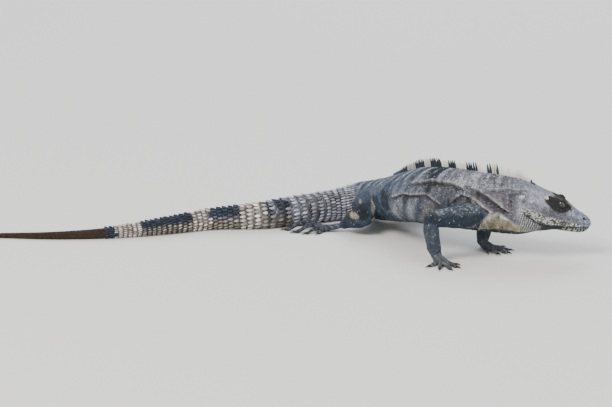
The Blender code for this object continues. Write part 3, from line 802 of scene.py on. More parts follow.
# how far folds, wrinkles, lips, nostrils and ears move the skin of the body out or in
def bodyLift(stations, angles, points):
    fromSide = foldedAngle(angles)
    lift, _, _ = foldsAt(stations, angles)
    wrinkle = streakNoise(stations, angles, wrinkles["along"], wrinkles["around"], 3) - 0.5
    lift += wrinkle * wrinkles["height"] * between(stations, 88, 110, 300, 350)
    lump = (smoothNoise(points, wrinkles["lumps"], 4) - 0.5) * wrinkles["lumpHeight"]
    lift += lump * between(stations, 60, 110, 330, 420)
    onFace = smoothStep(81, 75, stations)
    groove = (fromSide - lipAngle(stations)) * arcScale(stations)
    lift -= onFace * face["lipGroove"] * np.exp(-(groove / face["lipGrooveWidth"]) ** 2)
    where, up = face["nostril"]
    radius = np.hypot(stations - where, (fromSide - up) * arcScale(stations)) / face["nostrilRadius"]
    lift -= (stations < 25) * face["nostrilDepth"] * np.exp(-radius ** 4)
    lift += (stations < 25) * face["nostrilRim"] * np.exp(-((radius - 1.5) / 0.5) ** 2)
    for side in (-1, 1):
        toEar = np.linalg.norm(points - earCentre(side), axis=1)
        lift -= ear["depth"] * smoothStep(ear["radius"] + 0.9, ear["radius"] - 0.6, toEar)
    return lift


# moves the skin's points out and in for folds, wrinkles, lips, nostrils and lids
def detailSkin(piece):
    points, normals = toModel(readPoints(piece)), readNormals(piece)
    stations, angles, bodyGap = placeOf(points)
    _, _, limbGap = limbOf(points)
    nearBody = smoothStep(-1.0, 3.5, limbGap - bodyGap)
    lift = bodyLift(stations, angles, points) * nearBody
    lump = (smoothNoise(points, wrinkles["limbLumps"], 5) - 0.5) * wrinkles["limbHeight"]
    lift += lump * smoothStep(-2, -6, limbGap - bodyGap)
    points += normals * lift[:, None]
    shapeEyes(points)
    points[:, 2] = np.maximum(points[:, 2], skin["lowest"])
    piece.data.vertices.foreach_set("co", place(points).astype(np.float32).ravel())
    piece.data.update()


detailSkin(skinPiece)


# thins the skin behind the head, where scales cover it
def thinSkin(piece):
    points = toModel(readPoints(piece))
    stations, _, _ = placeOf(points)
    weightGroup(piece, "plain", smoothStep(85, 100, stations))
    piece.data.calc_loop_triangles()
    now = len(piece.data.loop_triangles)
    onHead = np.mean(stations < 90)
    ratio = (skin["triangles"] / now - onHead) / (1 - onHead)
    applyModifier(piece, "DECIMATE", ratio=max(ratio, 0.1), vertex_group="plain", vertex_group_factor=1.0)
    piece.vertex_groups.clear()
    piece.data.calc_loop_triangles()
    print("stage: skin shaped,", now, "triangles thinned to", len(piece.data.loop_triangles))


thinSkin(skinPiece)


# The hide's colours, named for the parts of the animal, mostly as they look in plain light. Some carry
# painted light: groove serves mostly as the painted shade of creases and gaps, the lower jaw's near-black
# is painted shade, flank and belly are partly painted shade, and the dewlap's rim is a painted highlight.
hide = {
    "snout": "#7c8490", "snoutTop": "#6f6b69", "eyePatch": "#292727", "creamSpot": "#cfc6b4",
    "temple": "#9a9eaa", "crown": "#959aa5", "underEye": "#626369", "lipPale": "#c0beb9",
    "lipDark": "#403f3d", "lowerJawShade": "#1c2426", "jowl": "#a5a4a5", "jowlDark": "#434347",
    "dewlap": "#9b957e", "dewlapRim": "#dddfe0", "dewlapEdge": "#1b201f", "neck": "#7d818b",
    "neckWarm": "#6c6970", "nape": "#8f909b", "shoulder": "#6d6f78", "back": "#656d7d",
    "rump": "#5e697c", "flank": "#575a62", "flankWarm": "#6c676b", "flankPale": "#878c94",
    "flankDark": "#43505e", "belly": "#333d45", "groove": "#38393d", "bar": "#1e2a35",
    "streak": "#94a0b1", "tailGrey": "#989aa4", "tailPale": "#bdb3ab", "tailDark": "#2a3344",
    "tailUnder": "#6a645b", "tailSpot": "#aba697", "tailBrown": "#39281b", "tailTip": "#35271c",
    "armDark": "#2a3642", "armPale": "#505c67", "speck": "#c9cdd2", "hand": "#5d6267",
    "legDark": "#2f3a45", "legBlue": "#4b5c71", "legPale": "#a39f9c", "cream": "#a59b82",
    "foot": "#3b4350", "earPale": "#d6d3ca", "thighDark": "#25292d",
}
hideColours = {name: colourOf(value) for name, value in hide.items()}


# moves colours towards one of the hide's by a share
def mixed(colours, name, share):
    share = np.clip(np.asarray(share, float), 0, 1)[:, None]
    return colours * (1 - share) + hideColours[name] * share


# 1 inside an oval, 0 outside it
def spot(x, y, radiusX, radiusY, soft=0.35):
    reach = np.hypot(x / radiusX, y / radiusY)
    return smoothStep(1 + soft, 1 - soft, reach)


# the ground colour along the top of the body: station and colour
alongBack = (
    (0, "snout"), (30, "snout"), (48, "crown"), (85, "neck"), (105, "neck"), (128, "nape"), (144, "nape"),
    (160, "shoulder"), (205, "back"), (250, "rump"), (345, "rump"), (385, "tailGrey"), (449, "tailGrey"),
)
# marks across the back: station at the upper end and at the lower end, upper and lower angle, half width,
# colour, strength. The dark bars come last, over the pale marks.
backMarks = (
    (121, 118, 80, 55, 6.0, "snoutTop", 0.35), (198, 204, 90, 44, 3.0, "streak", 0.7),
    (172, 176, 96, 44, 3.5, "speck", 0.2), (160, 163, 96, 50, 3.5, "speck", 0.25),
    (150, 146, 92, 44, 5.0, "speck", 0.3), (134, 138, 90, 42, 4.0, "speck", 0.3),
    (216, 226, 96, 44, 3.5, "streak", 0.7), (230, 240, 96, 44, 3.0, "streak", 0.6),
    (250, 262, 96, 44, 4.0, "streak", 0.7), (271, 284, 96, 44, 3.5, "streak", 0.6),
    (294, 306, 96, 44, 4.5, "streak", 0.6), (318, 328, 96, 44, 4.5, "streak", 0.55),
    (344, 350, 96, 44, 4.5, "streak", 0.5), (219, 220, 36, 16, 4.0, "streak", 0.5),
    (204, 203, 36, 16, 3.5, "streak", 0.4), (178, 184, 100, 20, 3.6, "bar", 1.5),
    (188, 194, 90, 56, 5.0, "bar", 1.6), (185, 187, 60, 40, 3.8, "bar", 1.2),
    (146, 149, 100, 78, 4.5, "bar", 0.7), (118, 120, 100, 80, 3.0, "bar", 0.5),
    (204, 214, 100, 44, 5.0, "bar", 0.8), (212, 210, 44, 18, 3.5, "bar", 0.5),
    (222, 233, 74, 40, 4.0, "bar", 0.5), (236, 250, 100, 48, 5.5, "bar", 0.8),
    (256, 260, 48, 6, 6.0, "bar", 0.75), (226, 226, 40, 18, 3.0, "bar", 0.4),
    (262, 272, 100, 52, 4.0, "bar", 0.6), (280, 294, 100, 44, 6.0, "bar", 0.8),
    (306, 318, 100, 44, 5.0, "bar", 0.65), (332, 340, 100, 44, 5.0, "bar", 0.6),
    (356, 360, 100, 50, 4.5, "bar", 0.5), (176, 168, 4, -8, 3.0, "bar", 0.5),
)
# upright bands below the flank fold: station, half width, colour
flankBands = (
    (189, 4.5, "flankDark"), (202, 7.5, "flankPale"), (212, 3.2, "flankDark"), (227, 8.5, "flankPale"),
    (250, 7.0, "bar"), (177, 7.0, "flankWarm"),
)
# patches of the lower body: angles where it is absent and full, stations where it starts, is full, begins to
# fade and ends, colour, strength
bodyPatches = (
    (40, 26, 86, 97, 132, 146, "neckWarm", 1), (6, -12, 122, 134, 160, 178, "flankDark", 0.9),
    (-42, -62, 118, 132, 360, 400, "belly", 1),
)
# the lumps in mm of each noise that the body's markings use
bodyNoise = {"patches": 4.0, "specks": 1.5, "haunch": 7, "streakLong": 1.9, "streakHigh": 13}
haunchEdge = ((246, 40), (262, 36), (275, 12), (330, 6))     # station, angle: the haunch's dark lies below
tailWander = {"size": 6, "reach": 5}      # how the bands' ends wander, in mm
# along the tail: where each band of colour ends, and its upper and lower colours
tailBands = (
    (462, "tailGrey", "tailGrey"), (477, "tailDark", "tailUnder"), (483, "tailGrey", "tailUnder"),
    (491, "tailDark", "tailUnder"), (523, "tailPale", "tailPale"), (563, "tailDark", "tailUnder"),
    (588, "tailPale", "tailPale"), (650, "tailDark", "tailUnder"), (682, "tailPale", "tailPale"),
    (692, "tailDark", "tailDark"), (1000, "tailBrown", "tailBrown"),
)
dewlap = {
    # its upper edge: station, angle
    "top": ((68, -64), (76, -49), (84, -40), (93, -34), (102, -29), (109, -18), (117, -19), (126, -38),
            (133, -68)),
    "low": -60,           # the dark edge below lies under this angle
    # where it starts and ends; how far above its upper edge its rim's painted highlight lies, and how wide
    "from": 66, "to": 134, "rimHighlightAbove": 1.5, "rimHighlightWidth": 1.6,
}


# the rings of the tail's spines: station and the length of one ring
whorls = ((352, 4.6), (372, 6.2), (398, 8.2), (430, 9.8), (470, 9.4), (553, 7.2), (694, 5.4))
tailWhorls = [float(whorls[0][0])]
while tailWhorls[-1] < whorls[-1][0]:
    tailWhorls.append(tailWhorls[-1] + float(through(whorls, tailWhorls[-1])))


# how far through its ring of spines a station is: 0 where the flat rows start, 1 behind the spines
def whorlPhase(stations):
    return np.interp(stations, tailWhorls, np.arange(len(tailWhorls))) % 1


# the tail's bands, whose ends wander a little
def bandColours(stations, fromSide, points):
    wobble = (smoothNoise(points, tailWander["size"], 21) - 0.5) * tailWander["reach"]
    ends = [end for end, _, _ in tailBands]
    index = np.minimum(np.searchsorted(ends, stations + wobble), len(ends) - 1)
    upper = np.array([hideColours[up] for _, up, _ in tailBands])[index]
    lower = np.array([hideColours[low] for _, _, low in tailBands])[index]
    share = smoothStep(25, -20, fromSide)[:, None]
    colours = upper * (1 - share) + lower * share
    inDark = (np.linalg.norm(lower - hideColours["tailUnder"], axis=1) < 1e-3) * smoothStep(30, 5, fromSide)
    colours = mixed(colours, "tailSpot", inDark * smoothStep(0.55, 0.7, whorlPhase(stations)) * 0.6)
    return mixed(colours, "tailTip", smoothStep(700, 860, stations))


headMarks = {
    # by station: the lip's pale band and its height over the mouth in mm, how pale it is, from which value of
    # the noise its grains are dark, and the width of the painted shade along the mouth's crease
    "lipTop": ((8, 5.0), (25, 6.5), (45, 10.5), (63, 13.0), (78, 9.0), (92, 7.0)),
    "lipShare": ((8, 0.3), (20, 0.5), (36, 0.85)),
    "lipDarkFrom": ((8, 0.36), (30, 0.41), (45, 0.47)),
    "mouthWidth": ((45, 1.1), (58, 2.0), (70, 2.0), (80, 1.2)),
    # the dark patch round the eye: its lower edge by station, its rear and front edges by angle
    "patchLow": ((34, 34), (37, 20), (41, 10), (47, 11), (53, 19), (59, 32), (62, 44)),
    "patchRear": ((20, 60), (45, 62), (62, 57), (90, 50)),
    "patchFront": ((10, 36), (28, 33), (48, 31.5), (62, 33), (90, 39)),
    # stripes on the jowl and on the front of the jaw: their pitch in mm
    "jowlPitch": 2.9, "jawPitch": 3.1,
    # the dusky cheek: station, angle, half length in mm, half height in degrees, strength
    "cheek": ((44, 5, 25, 18, 0.95), (74, 14, 9, 8, 0.6)),
    # station, angle, half length and half height in mm, softness, colour, strength
    "spots": (
        (59.5, 50, 2.6, 2.9, 0.2, "creamSpot", 1), (55, 66, 4.0, 1.0, 0.3, "creamSpot", 0.6),
        (*face["nostril"], 2.0, 1.9, 0.3, "eyePatch", 1), (30, 22, 3.6, 4.6, 0.5, "streak", 0.6),
        (87.5, 30.5, 2.5, 1.7, 0.3, "earPale", 1), (98, 17, 1.5, 1.5, 0.4, "groove", 0.8),
    ),
}


# the markings of the head, painted one over another: top, cheek, jowl, lip, jaw, mouth, eye patch and spots.
# The jaw's near-black and the mouth's dark line are painted shade.
def paintHead(colours, stations, fromSide, points):
    scale = arcScale(stations)
    onHead = smoothStep(92, 84, stations)
    aboveLip = (fromSide - lipAngle(stations)) * scale
    top = smoothStep(38, 62, fromSide) * between(stations, 24, 30, 37, 42)
    colours = mixed(colours, "snoutTop", top * 0.9)
    sides = smoothStep(70, 52, fromSide) * onHead
    colours = mixed(colours, "temple", sides * smoothStep(50, 62, stations))
    for station, angle, long, high, strength in headMarks["cheek"]:
        mark = spot(stations - station, fromSide - angle, long, high)
        colours = mixed(colours, "underEye", sides * mark * strength)
    below = smoothStep(0.5, -0.5, aboveLip)
    jowl = below * smoothStep(54, 66, stations) * onHead
    behind = onHead * smoothStep(10, 0, fromSide) * smoothStep(72, 80, stations)
    colours = mixed(colours, "jowl", np.maximum(jowl, behind))
    bandTop = straight(headMarks["lipTop"], stations)
    grains = smoothNoise(points, 1.15, 31)
    lipBand = smoothStep(bandTop + 1.5, bandTop - 1.5, aboveLip) * smoothStep(-0.5, 0.5, aboveLip)
    lipBand = lipBand * between(stations, 6, 16, 80, 92)
    colours = mixed(colours, "lipPale", lipBand * straight(headMarks["lipShare"], stations))
    darkGrains = smoothStep(0, 0.11, grains - straight(headMarks["lipDarkFrom"], stations))
    colours = mixed(colours, "lipDark", lipBand * darkGrains * 0.95)
    stripes = 0.5 + 0.5 * np.sin(2 * math.pi * (stations + 0.08 * fromSide) / headMarks["jowlPitch"])
    colours = mixed(colours, "jowlDark", jowl * smoothStep(0.3, 0.75, stripes) * 0.9)
    # the lower jaw, tucked under the upper lip, painted near-black as painted shade
    jaw = below * smoothStep(66, 56, stations)
    colours = mixed(colours, "lowerJawShade", jaw)
    frontStripes = smoothStep(0.35, 0.6, 0.5 + 0.5 * np.sin(2 * math.pi * stations / headMarks["jawPitch"]))
    colours = mixed(colours, "lipPale", jaw * smoothStep(34, 26, stations) * frontStripes * 0.55)
    # painted shade in the crease of the mouth
    groove = np.exp(-(aboveLip / straight(headMarks["mouthWidth"], stations)) ** 2)
    groove = groove * smoothStep(84, 79, stations)
    colours = mixed(colours, "groove", groove * 0.95)
    lowEdge = straight(headMarks["patchLow"], stations)
    rear, front = (straight(headMarks[key], fromSide) for key in ("patchRear", "patchFront"))
    patch = smoothStep(lowEdge - 3, lowEdge + 3, fromSide) * smoothStep(rear + 1, rear - 1, stations)
    colours = mixed(colours, "eyePatch", patch * smoothStep(front - 1.6, front + 1.2, stations))
    colours = mixed(colours, "snoutTop", spot(stations - 80, fromSide - 27, 2.6, 18, 0.5) * 0.55)
    for station, angle, long, high, soft, name, strength in headMarks["spots"]:
        mark = spot(stations - station, (fromSide - angle) * scale, long, high, soft)
        colours = mixed(colours, name, mark * strength)
    return colours


# the markings of the body, painted one over another, with painted shade in the folds, between the tail's
# rings and, with their own darker colour, on the lower flank and underside, and painted highlight on the
# folds' lips and the dewlap's rim
def paintBody(stations, angles, points):
    fromSide = foldedAngle(angles)
    ends = [station for station, _ in alongBack]
    shades = np.array([hideColours[name] for _, name in alongBack])
    colours = np.stack([np.interp(stations, ends, shades[:, i]) for i in range(3)], axis=1)
    trunk = between(stations, 128, 142, 315, 340)
    patches = smoothStep(0.3, 0.6, smoothNoise(points, bodyNoise["patches"], 35))
    # the lower flank and the hollow under the shoulder fold: the flank's own darker grey with painted shade
    lower = smoothStep(16, 6, fromSide) * trunk
    underFold = smoothStep(42, 34, fromSide) * smoothStep(198, 186, stations) * trunk
    colours = mixed(colours, "flank", np.maximum(lower * 0.85, underFold * 0.9))
    grains = smoothNoise(points, bodyNoise["specks"], 62)
    speckled = between(stations, 96, 110, 190, 215) * smoothStep(16, 38, fromSide)
    colours = mixed(colours, "speck", speckled * smoothStep(0.6, 0.74, grains) * 0.5)
    colours = mixed(colours, "groove", speckled * smoothStep(0.4, 0.28, grains) * 0.5)
    for top, low, high, deep, width, name, strength in backMarks:
        centre = top + (low - top) * np.clip((high - fromSide) / (high - deep), 0, 1)
        across = np.exp(-np.abs((stations - centre) / width) ** 3)
        along = between(fromSide, deep - 5, deep + 3, high - 3, high + 5)
        colours = mixed(colours, name, across * along * (0.6 + 0.4 * patches) * strength)
    upright = streakNoise(stations, fromSide, bodyNoise["streakLong"], bodyNoise["streakHigh"], 33) - 0.5
    for centre, width, name in flankBands:
        slanted = stations - np.maximum(-fromSide, 0) * 0.4
        across = np.exp(-np.abs((slanted - centre) / width) ** 4)
        colours = mixed(colours, name, across * smoothStep(12, 5, fromSide) * trunk * 0.85)
    edge = straight(haunchEdge, stations)
    haunch = smoothStep(edge + 6, edge - 8, fromSide) * between(stations, 246, 251, 315, 345)
    colours = mixed(colours, "legDark", haunch * 0.9)
    blue = smoothStep(0.4, 0.7, smoothNoise(points, bodyNoise["haunch"], 37))
    colours = mixed(colours, "legBlue", haunch * blue * 0.7)
    # the patch under the folds and the belly: partly own dark colour, partly painted shade of the underside
    for absent, full, *reach, name, strength in bodyPatches:
        patch = smoothStep(absent, full, fromSide) * between(stations, *reach)
        colours = mixed(colours, name, patch * strength)
    colours = paintHead(colours, stations, fromSide, points)
    scale = arcScale(stations)
    top = straight(dewlap["top"], stations)
    inside = (stations > dewlap["from"]) & (stations < dewlap["to"])
    patch = inside * smoothStep(1.2, -1.2, (fromSide - top) * scale) * smoothStep(66, 80, stations)
    colours = mixed(colours, "dewlap", patch)
    # a painted highlight along the lit rim of the dewlap's fold
    fromRim = (fromSide - top - dewlap["rimHighlightAbove"]) * scale
    rim = inside * np.exp(-(fromRim / dewlap["rimHighlightWidth"]) ** 2) * smoothStep(92, 101, stations)
    colours = mixed(colours, "dewlapRim", rim)
    low = smoothStep(dewlap["low"] + 5, dewlap["low"] - 4, fromSide) * smoothStep(62, 72, stations)
    colours = mixed(colours, "dewlapEdge", low * smoothStep(140, 132, stations) * 0.95)
    onTail = smoothStep(368, 392, stations)[:, None]
    colours = colours * (1 - onTail) + bandColours(stations, fromSide, points) * onTail
    # painted shade in the gaps between the tail's rings of spines
    ringGapShade = smoothStep(0.5, 0.36, whorlPhase(stations)) * between(stations, 354, 390, 690, 700)
    colours = mixed(colours, "groove", ringGapShade * 0.75)
    # painted shade in the folds' troughs and a painted highlight along their lips
    _, shade, lipHighlight = foldsAt(stations, angles)
    colours = mixed(colours, "groove", shade * 0.88)
    colours = mixed(colours, "lipPale", lipHighlight * 0.55)
    loose = between(stations, 92, 108, 340, 372)
    return colours * (1 + upright * loose)[:, None]


# marks on the hind leg that faces the camera: centre x and z in mm, half sizes, colour
legMarks = (
    ((-89, 31), (8, 9), "thighDark"), ((-76.5, 38), (2.6, 11), "legPale"),
    ((-77, 21), (2.2, 2.6), "legPale"), ((-100, 26), (5.2, 3.4), "cream"),
    ((-104.5, 34), (1.8, 2.6), "cream"), ((-92.5, 41), (2.0, 1.8), "legPale"),
)
farStripe = {"at": 0.62, "width": 0.022}      # on the far thigh, as shares of its length
# the lumps in mm of each noise that the limbs' markings use
limbNoise = {"specks": 1.5, "blue": 12, "stripe": 5}


# the markings of the limbs
def paintLimbs(parts, shares, points):
    colours = np.tile(hideColours["armDark"], (len(points), 1))
    names = np.array([name.split(".")[0] for name in limbNames])[parts]
    sides = np.array([name.split(".")[1] for name in limbNames])[parts]
    arm = (names == "upperArm") | (names == "forearm")
    leg = (names == "thigh") | (names == "shank")
    foot = ~(arm | leg)
    x, z = points[:, 0], points[:, 2]
    colours = mixed(colours, "armPale", (names == "forearm") * smoothStep(0.05, 0.45, shares) * 0.85)
    armTop = (names == "upperArm") * smoothStep(56, 66, z)
    colours = mixed(colours, "armPale", armTop * 0.8)
    specks = smoothStep(0.56, 0.7, smoothNoise(points, limbNoise["specks"], 44))
    colours = mixed(colours, "speck", armTop * specks * 0.45)
    colours = mixed(colours, "hand", foot * 0.9)
    colours = mixed(colours, "foot", np.char.startswith(names, "sole"))
    colours = mixed(colours, "legDark", leg)
    blue = smoothStep(0.42, 0.7, smoothNoise(points, limbNoise["blue"], 41))
    colours = mixed(colours, "legBlue", leg * blue * 0.7)
    # a painted highlight along the tops of the legs
    colours = mixed(colours, "legBlue", leg * smoothStep(34, 46, z) * 0.7)
    pale = 0.5 + 0.5 * np.sin(x * 0.9 + points[:, 1] * 0.6)
    colours = mixed(colours, "legPale", foot * smoothStep(0.75, 0.95, pale) * 0.3)
    for (atX, atZ), (wide, tall), name in legMarks:
        mark = spot(x - atX, z - atZ, wide, tall, 0.25) * leg * (sides == "right")
        colours = mixed(colours, name, mark * 0.95)
    stripe = (sides == "left") * (names == "thigh")
    stripe = stripe * np.exp(-((shares - farStripe["at"]) / farStripe["width"]) ** 2)
    broken = smoothStep(0.35, 0.6, smoothNoise(points, limbNoise["stripe"], 43))
    return mixed(colours, "legPale", stripe * broken * 0.85)


# where points lie on the body and on the limbs
def standing(points):
    return (*placeOf(points), *limbOf(points))


# the grain of every colour: its least share, and each noise's lumps in mm, strength and seed
grainLook = {"least": 0.64, "noises": ((2.6, 0.38, 51), (7.5, 0.34, 52))}
skinShade = 0.85      # the skin is a little darker than the scales, so that it shows as lines between them


# the same markings for the skin and the scales, from nothing but where a point lies
def paintAt(points, known=None):
    stations, angles, bodyGap, parts, shares, limbGap = known or standing(points)
    onLimb = smoothStep(-1.5, 1.5, bodyGap - limbGap)[:, None]
    body, limb = paintBody(stations, angles, points), paintLimbs(parts, shares, points)
    shade = grainLook["least"]
    for size, strength, seed in grainLook["noises"]:
        shade = shade + strength * smoothNoise(points, size, seed)
    return np.clip((body * (1 - onLimb) + limb * onLimb) * shade[:, None], 0.002, 1)


def paintSkin(piece):
    writeMarking(piece.data, paintAt(toModel(readPoints(piece))) * skinShade)


# the clouds that vary every hide's colour and sheen, and how deep its grains are
hideLook = {"cloud": 160.0, "detail": 4.0, "sheenSpread": 0.12, "depth": 0.4, "specular": 0.35}


# dry, finely pebbled reptile skin: soft sheen on the raised grains, colour that varies grain by grain
def hideMaterial(name, grain, bump, roughness, strength=0.12):
    material, shader = newMaterial(name, "#808080", roughness)
    place3d = addNode(material, "ShaderNodeTexCoord").outputs["Object"]
    marking = addNode(material, "ShaderNodeAttribute", {"attribute_name": "marking"}).outputs["Color"]
    cells = addNode(material, "ShaderNodeTexVoronoi", {"Scale": 1 / (grain * mm)}, {"Vector": place3d})
    cloud = addNode(material, "ShaderNodeTexNoise",
                    {"Scale": hideLook["cloud"], "Detail": hideLook["detail"]}, {"Vector": place3d})
    vary = addNode(material, "ShaderNodeMapRange", {"To Min": 1 - strength, "To Max": 1 + strength},
                   {"Value": cloud.outputs["Fac"]}).outputs["Result"]
    tinted = addNode(material, "ShaderNodeVectorMath", {"operation": "SCALE"}, {"Scale": vary})
    material.node_tree.links.new(marking, tinted.inputs[0])
    material.node_tree.links.new(tinted.outputs[0], shader.inputs["Base Color"])
    spread = hideLook["sheenSpread"]
    rough = addNode(material, "ShaderNodeMapRange",
                    {"To Min": roughness - spread, "To Max": roughness + spread},
                    {"Value": cloud.outputs["Fac"]}).outputs["Result"]
    material.node_tree.links.new(rough, shader.inputs["Roughness"])
    raised = addNode(material, "ShaderNodeBump",
                     {"Strength": bump, "Distance": hideLook["depth"] * mm, "invert": True},
                     {"Height": cells.outputs["Distance"]})
    material.node_tree.links.new(raised.outputs[0], shader.inputs["Normal"])
    shader.inputs["Specular IOR Level"].default_value = hideLook["specular"]
    return material


skinHide = hideMaterial("pebbledHide", 1.1, 0.8, 0.62)              # matt, pebbled skin between the scales
scaleHide = hideMaterial("keeledScaleHide", 0.5, 0.3, 0.56)         # dry scales with a soft sheen
spineHorn = hideMaterial("softSpineKeratin", 0.7, 0.3, 0.5, 0.08)   # smooth, faintly glossy spines
clawHorn = hideMaterial("clawKeratin", 0.6, 0.2, 0.35, 0.2)         # polished claws with a narrow highlight
drumHide = hideMaterial("thinDrumSkin", 0.8, 0.15, 0.6)             # thin skin, smoother than the hide
# the wet eye: dark under a clear coat, with a sharp highlight
eyeGlass, eyeShader = newMaterial("wetEyeball", "#1b1512", 0.06)
eyeMark = addNode(eyeGlass, "ShaderNodeAttribute", {"attribute_name": "marking"}).outputs["Color"]
eyeGlass.node_tree.links.new(eyeMark, eyeShader.inputs["Base Color"])
eyeShader.inputs["Coat Weight"].default_value = 0.8


crest = {
    "start": 74.5, "end": 287.0, "pitch": 2.75, "lean": 0.22, "root": 2.2, "thick": 1.15, "jitter": 0.1,
    "unwrapFrom": 60, "unwrapTo": 300,
    # station and height above the back
    "height": ((74, 2.5), (80, 6.5), (87, 11), (96, 12.5), (124, 12), (150, 10.3), (180, 9.3), (205, 11.5),
               (220, 11), (235, 9.5), (250, 8.5), (262, 6.5), (276, 4.5), (287, 3)),
    # where each run of one colour ends, going back
    "colours": ((79, "#3a4248"), (115, "#f2efe6"), (118.5, "#2c3943"), (122, "#d3ccb2"), (128, "#2c3943"),
                (140, "#f2efe6"), (154, "#1b2833"), (167, "#efece2"), (178, "#1d2b36"), (189, "#eae7dd"),
                (208, "#1b2833"), (220, "#c2bfb5"), (235, "#1b2731"), (251, "#a9aaa8"), (268.5, "#1d2832"),
                (300, "#3b4756")),
}


# a spine of the crest: a stem that narrows towards a blunt tip
def crestSpine():
    bpy.ops.mesh.primitive_cylinder_add(vertices=8, radius=0.5, depth=0.2, location=(0, 0, 0.1))
    piece = bpy.context.object
    for rise, shrink in ((0.28, 0.94), (0.26, 0.8), (0.2, 0.62), (0.12, 0.4)):
        top = max(corner.co.z for corner in piece.data.vertices)
        selectCorners(piece, lambda at: at.z > top - 1e-4)
        bpy.ops.mesh.select_mode(type="VERT")
        bpy.ops.mesh.extrude_region_move(TRANSFORM_OT_translate={"value": (0, 0, rise)})
        bpy.ops.transform.resize(value=(shrink, shrink, 1))
        bpy.ops.object.mode_set(mode="OBJECT")


def makeCrest():
    pattern = modelled(crestSpine)
    chance = np.random.default_rng(11)
    stations = np.arange(crest["start"], crest["end"], crest["pitch"])
    stations = stations + chance.normal(0, crest["jitter"], len(stations))
    tall = through(crest["height"], stations) * chance.uniform(0.93, 1.04, len(stations))
    top = bodySurface(stations, 90.0, -crest["root"])
    _, forward, left, up = lineFrames(stations)
    out = unit(up - forward * crest["lean"] + left * chance.normal(0, 0.03, len(stations))[:, None])
    ends = np.array([end for end, _ in crest["colours"]])
    shades = np.array([colourOf(value) for _, value in crest["colours"]])
    colours = shades[np.searchsorted(ends, stations)] * chance.uniform(0.82, 1.1, len(stations))[:, None]
    wide = np.full(len(stations), crest["pitch"] * 1.12)
    sizes = np.column_stack([wide, np.full(len(stations), crest["thick"]) * 2, tall + crest["root"]])
    share = (stations - crest["unwrapFrom"]) / (crest["unwrapTo"] - crest["unwrapFrom"])
    unwrap = np.column_stack([share, np.full(len(stations), 0.75)])
    return joinedCopies("crestSpines", pattern, top, -forward, out, sizes, colours, unwrap,
                        spineHorn, (0.75, 1.05))


claw = {
    "length": {"palm": 6.8, "sole": 7.4}, "radius": 1.55, "drop": 1.5, "arch": 1.1, "clear": 0.2,
    "root": 0.6, "extra": 0.8, "narrow": 0.8, "colour": "#2b2622",
    "steps": 7, "blunt": 0.35, "taper": 0.75,
}


# a claw: a cone drawn out along x, bent when it is copied
def clawHook():
    bpy.ops.mesh.primitive_cylinder_add(vertices=10, radius=1.0, depth=0.12, rotation=(0, math.pi / 2, 0))
    bpy.ops.object.transform_apply(location=False, rotation=True, scale=False)
    piece = bpy.context.object
    steps, blunt = claw["steps"], claw["blunt"]
    for i in range(steps):
        tip = max(corner.co.x for corner in piece.data.vertices)
        selectCorners(piece, lambda at: at.x > tip - 1e-4)
        shrink = ((1 - (i + 1) / (steps + blunt)) / (1 - i / (steps + blunt))) ** claw["taper"]
        bpy.ops.mesh.extrude_region_move(TRANSFORM_OT_translate={"value": (1 / steps, 0, 0)})
        bpy.ops.transform.resize(value=(1, shrink, shrink))
        bpy.ops.object.mode_set(mode="OBJECT")


def makeClaws():
    points, faces = modelled(clawHook)
    names, roots, ways, lengths = [], [], [], []
    for side in ("right", "left"):
        for foot, word in (("palm", "hand"), ("sole", "foot")):
            for i, (path, way) in enumerate(digitPaths(side, foot)):
                names.append(f"claw_{word}_{side}_{i + 1}")
                ahead = path[-1][3] * 0.92 - claw["clear"] - claw["root"]
                roots.append(np.array(path[-1][:3]) + way * ahead)
                ways.append(way)
                lengths.append(claw["length"][foot] + claw["extra"])
    count, lengths = len(roots), np.array(lengths)
    sizes = np.column_stack([lengths, np.full(count, claw["radius"]), np.full(count, claw["radius"])])
    share = points[:, 0]
    bent = points.copy()
    bent[:, 2] += (claw["arch"] * np.sin(share * math.pi * 0.8) - share * claw["drop"]) / claw["radius"]
    bent[:, 1] *= claw["narrow"]
    colours = np.tile(colourOf(claw["colour"]), (count, 1))
    unwrap = np.column_stack([np.arange(count) / count + 0.02, np.full(count, 0.5)])
    upward = np.tile([0.0, 0, 1], (count, 1))
    piece = joinedCopies("claws", (bent, faces), np.array(roots), np.array(ways), upward,
                         sizes, colours, unwrap, clawHorn, (1.0, 1.0))
    makeActive(piece)
    bpy.ops.object.shade_smooth_by_angle(angle=math.radians(50))
    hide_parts(*names)


eyeball = {
    "rings": 48, "segments": 64, "iris": 3.1, "pupil": 1.5,
    "ballColour": "#17110e", "pupilColour": "#050505",
}
# from the middle out: how much of the iris each ring reaches, and its colour
irisRings = ((1.0, "#17110d"), (0.9, "#2b1f15"), (0.74, "#3d2c1b"), (0.58, "#241910"))


def makeEye(side, word):
    centre, look, _, _ = eyeFrame(side)
    turn = Vector(look).to_track_quat("Z", "Y").to_euler()
    deselectAll()
    bpy.ops.mesh.primitive_uv_sphere_add(
        segments=eyeball["segments"], ring_count=eyeball["rings"], radius=eye["radius"] * mm,
        location=place(centre), rotation=turn)
    piece = bpy.context.object
    piece.name = piece.data.name = f"eyeball_{word}"
    bpy.ops.object.transform_apply(location=True, rotation=True, scale=True)
    bpy.ops.object.shade_smooth()
    away = toModel(readPoints(piece)) - centre
    reach = np.linalg.norm(np.cross(away, look), axis=1)
    reach = np.where(away @ look > 0, reach, 99)
    colours = np.tile(colourOf(eyeball["ballColour"]), (len(away), 1))
    for share, shade in irisRings:
        colours[reach < eyeball["iris"] * share] = colourOf(shade)
    colours[reach < eyeball["pupil"]] = colourOf(eyeball["pupilColour"])
    writeMarking(piece.data, colours)
    piece.data.materials.append(eyeGlass)
    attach(piece, "root")
    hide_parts(f"eye_{word}")


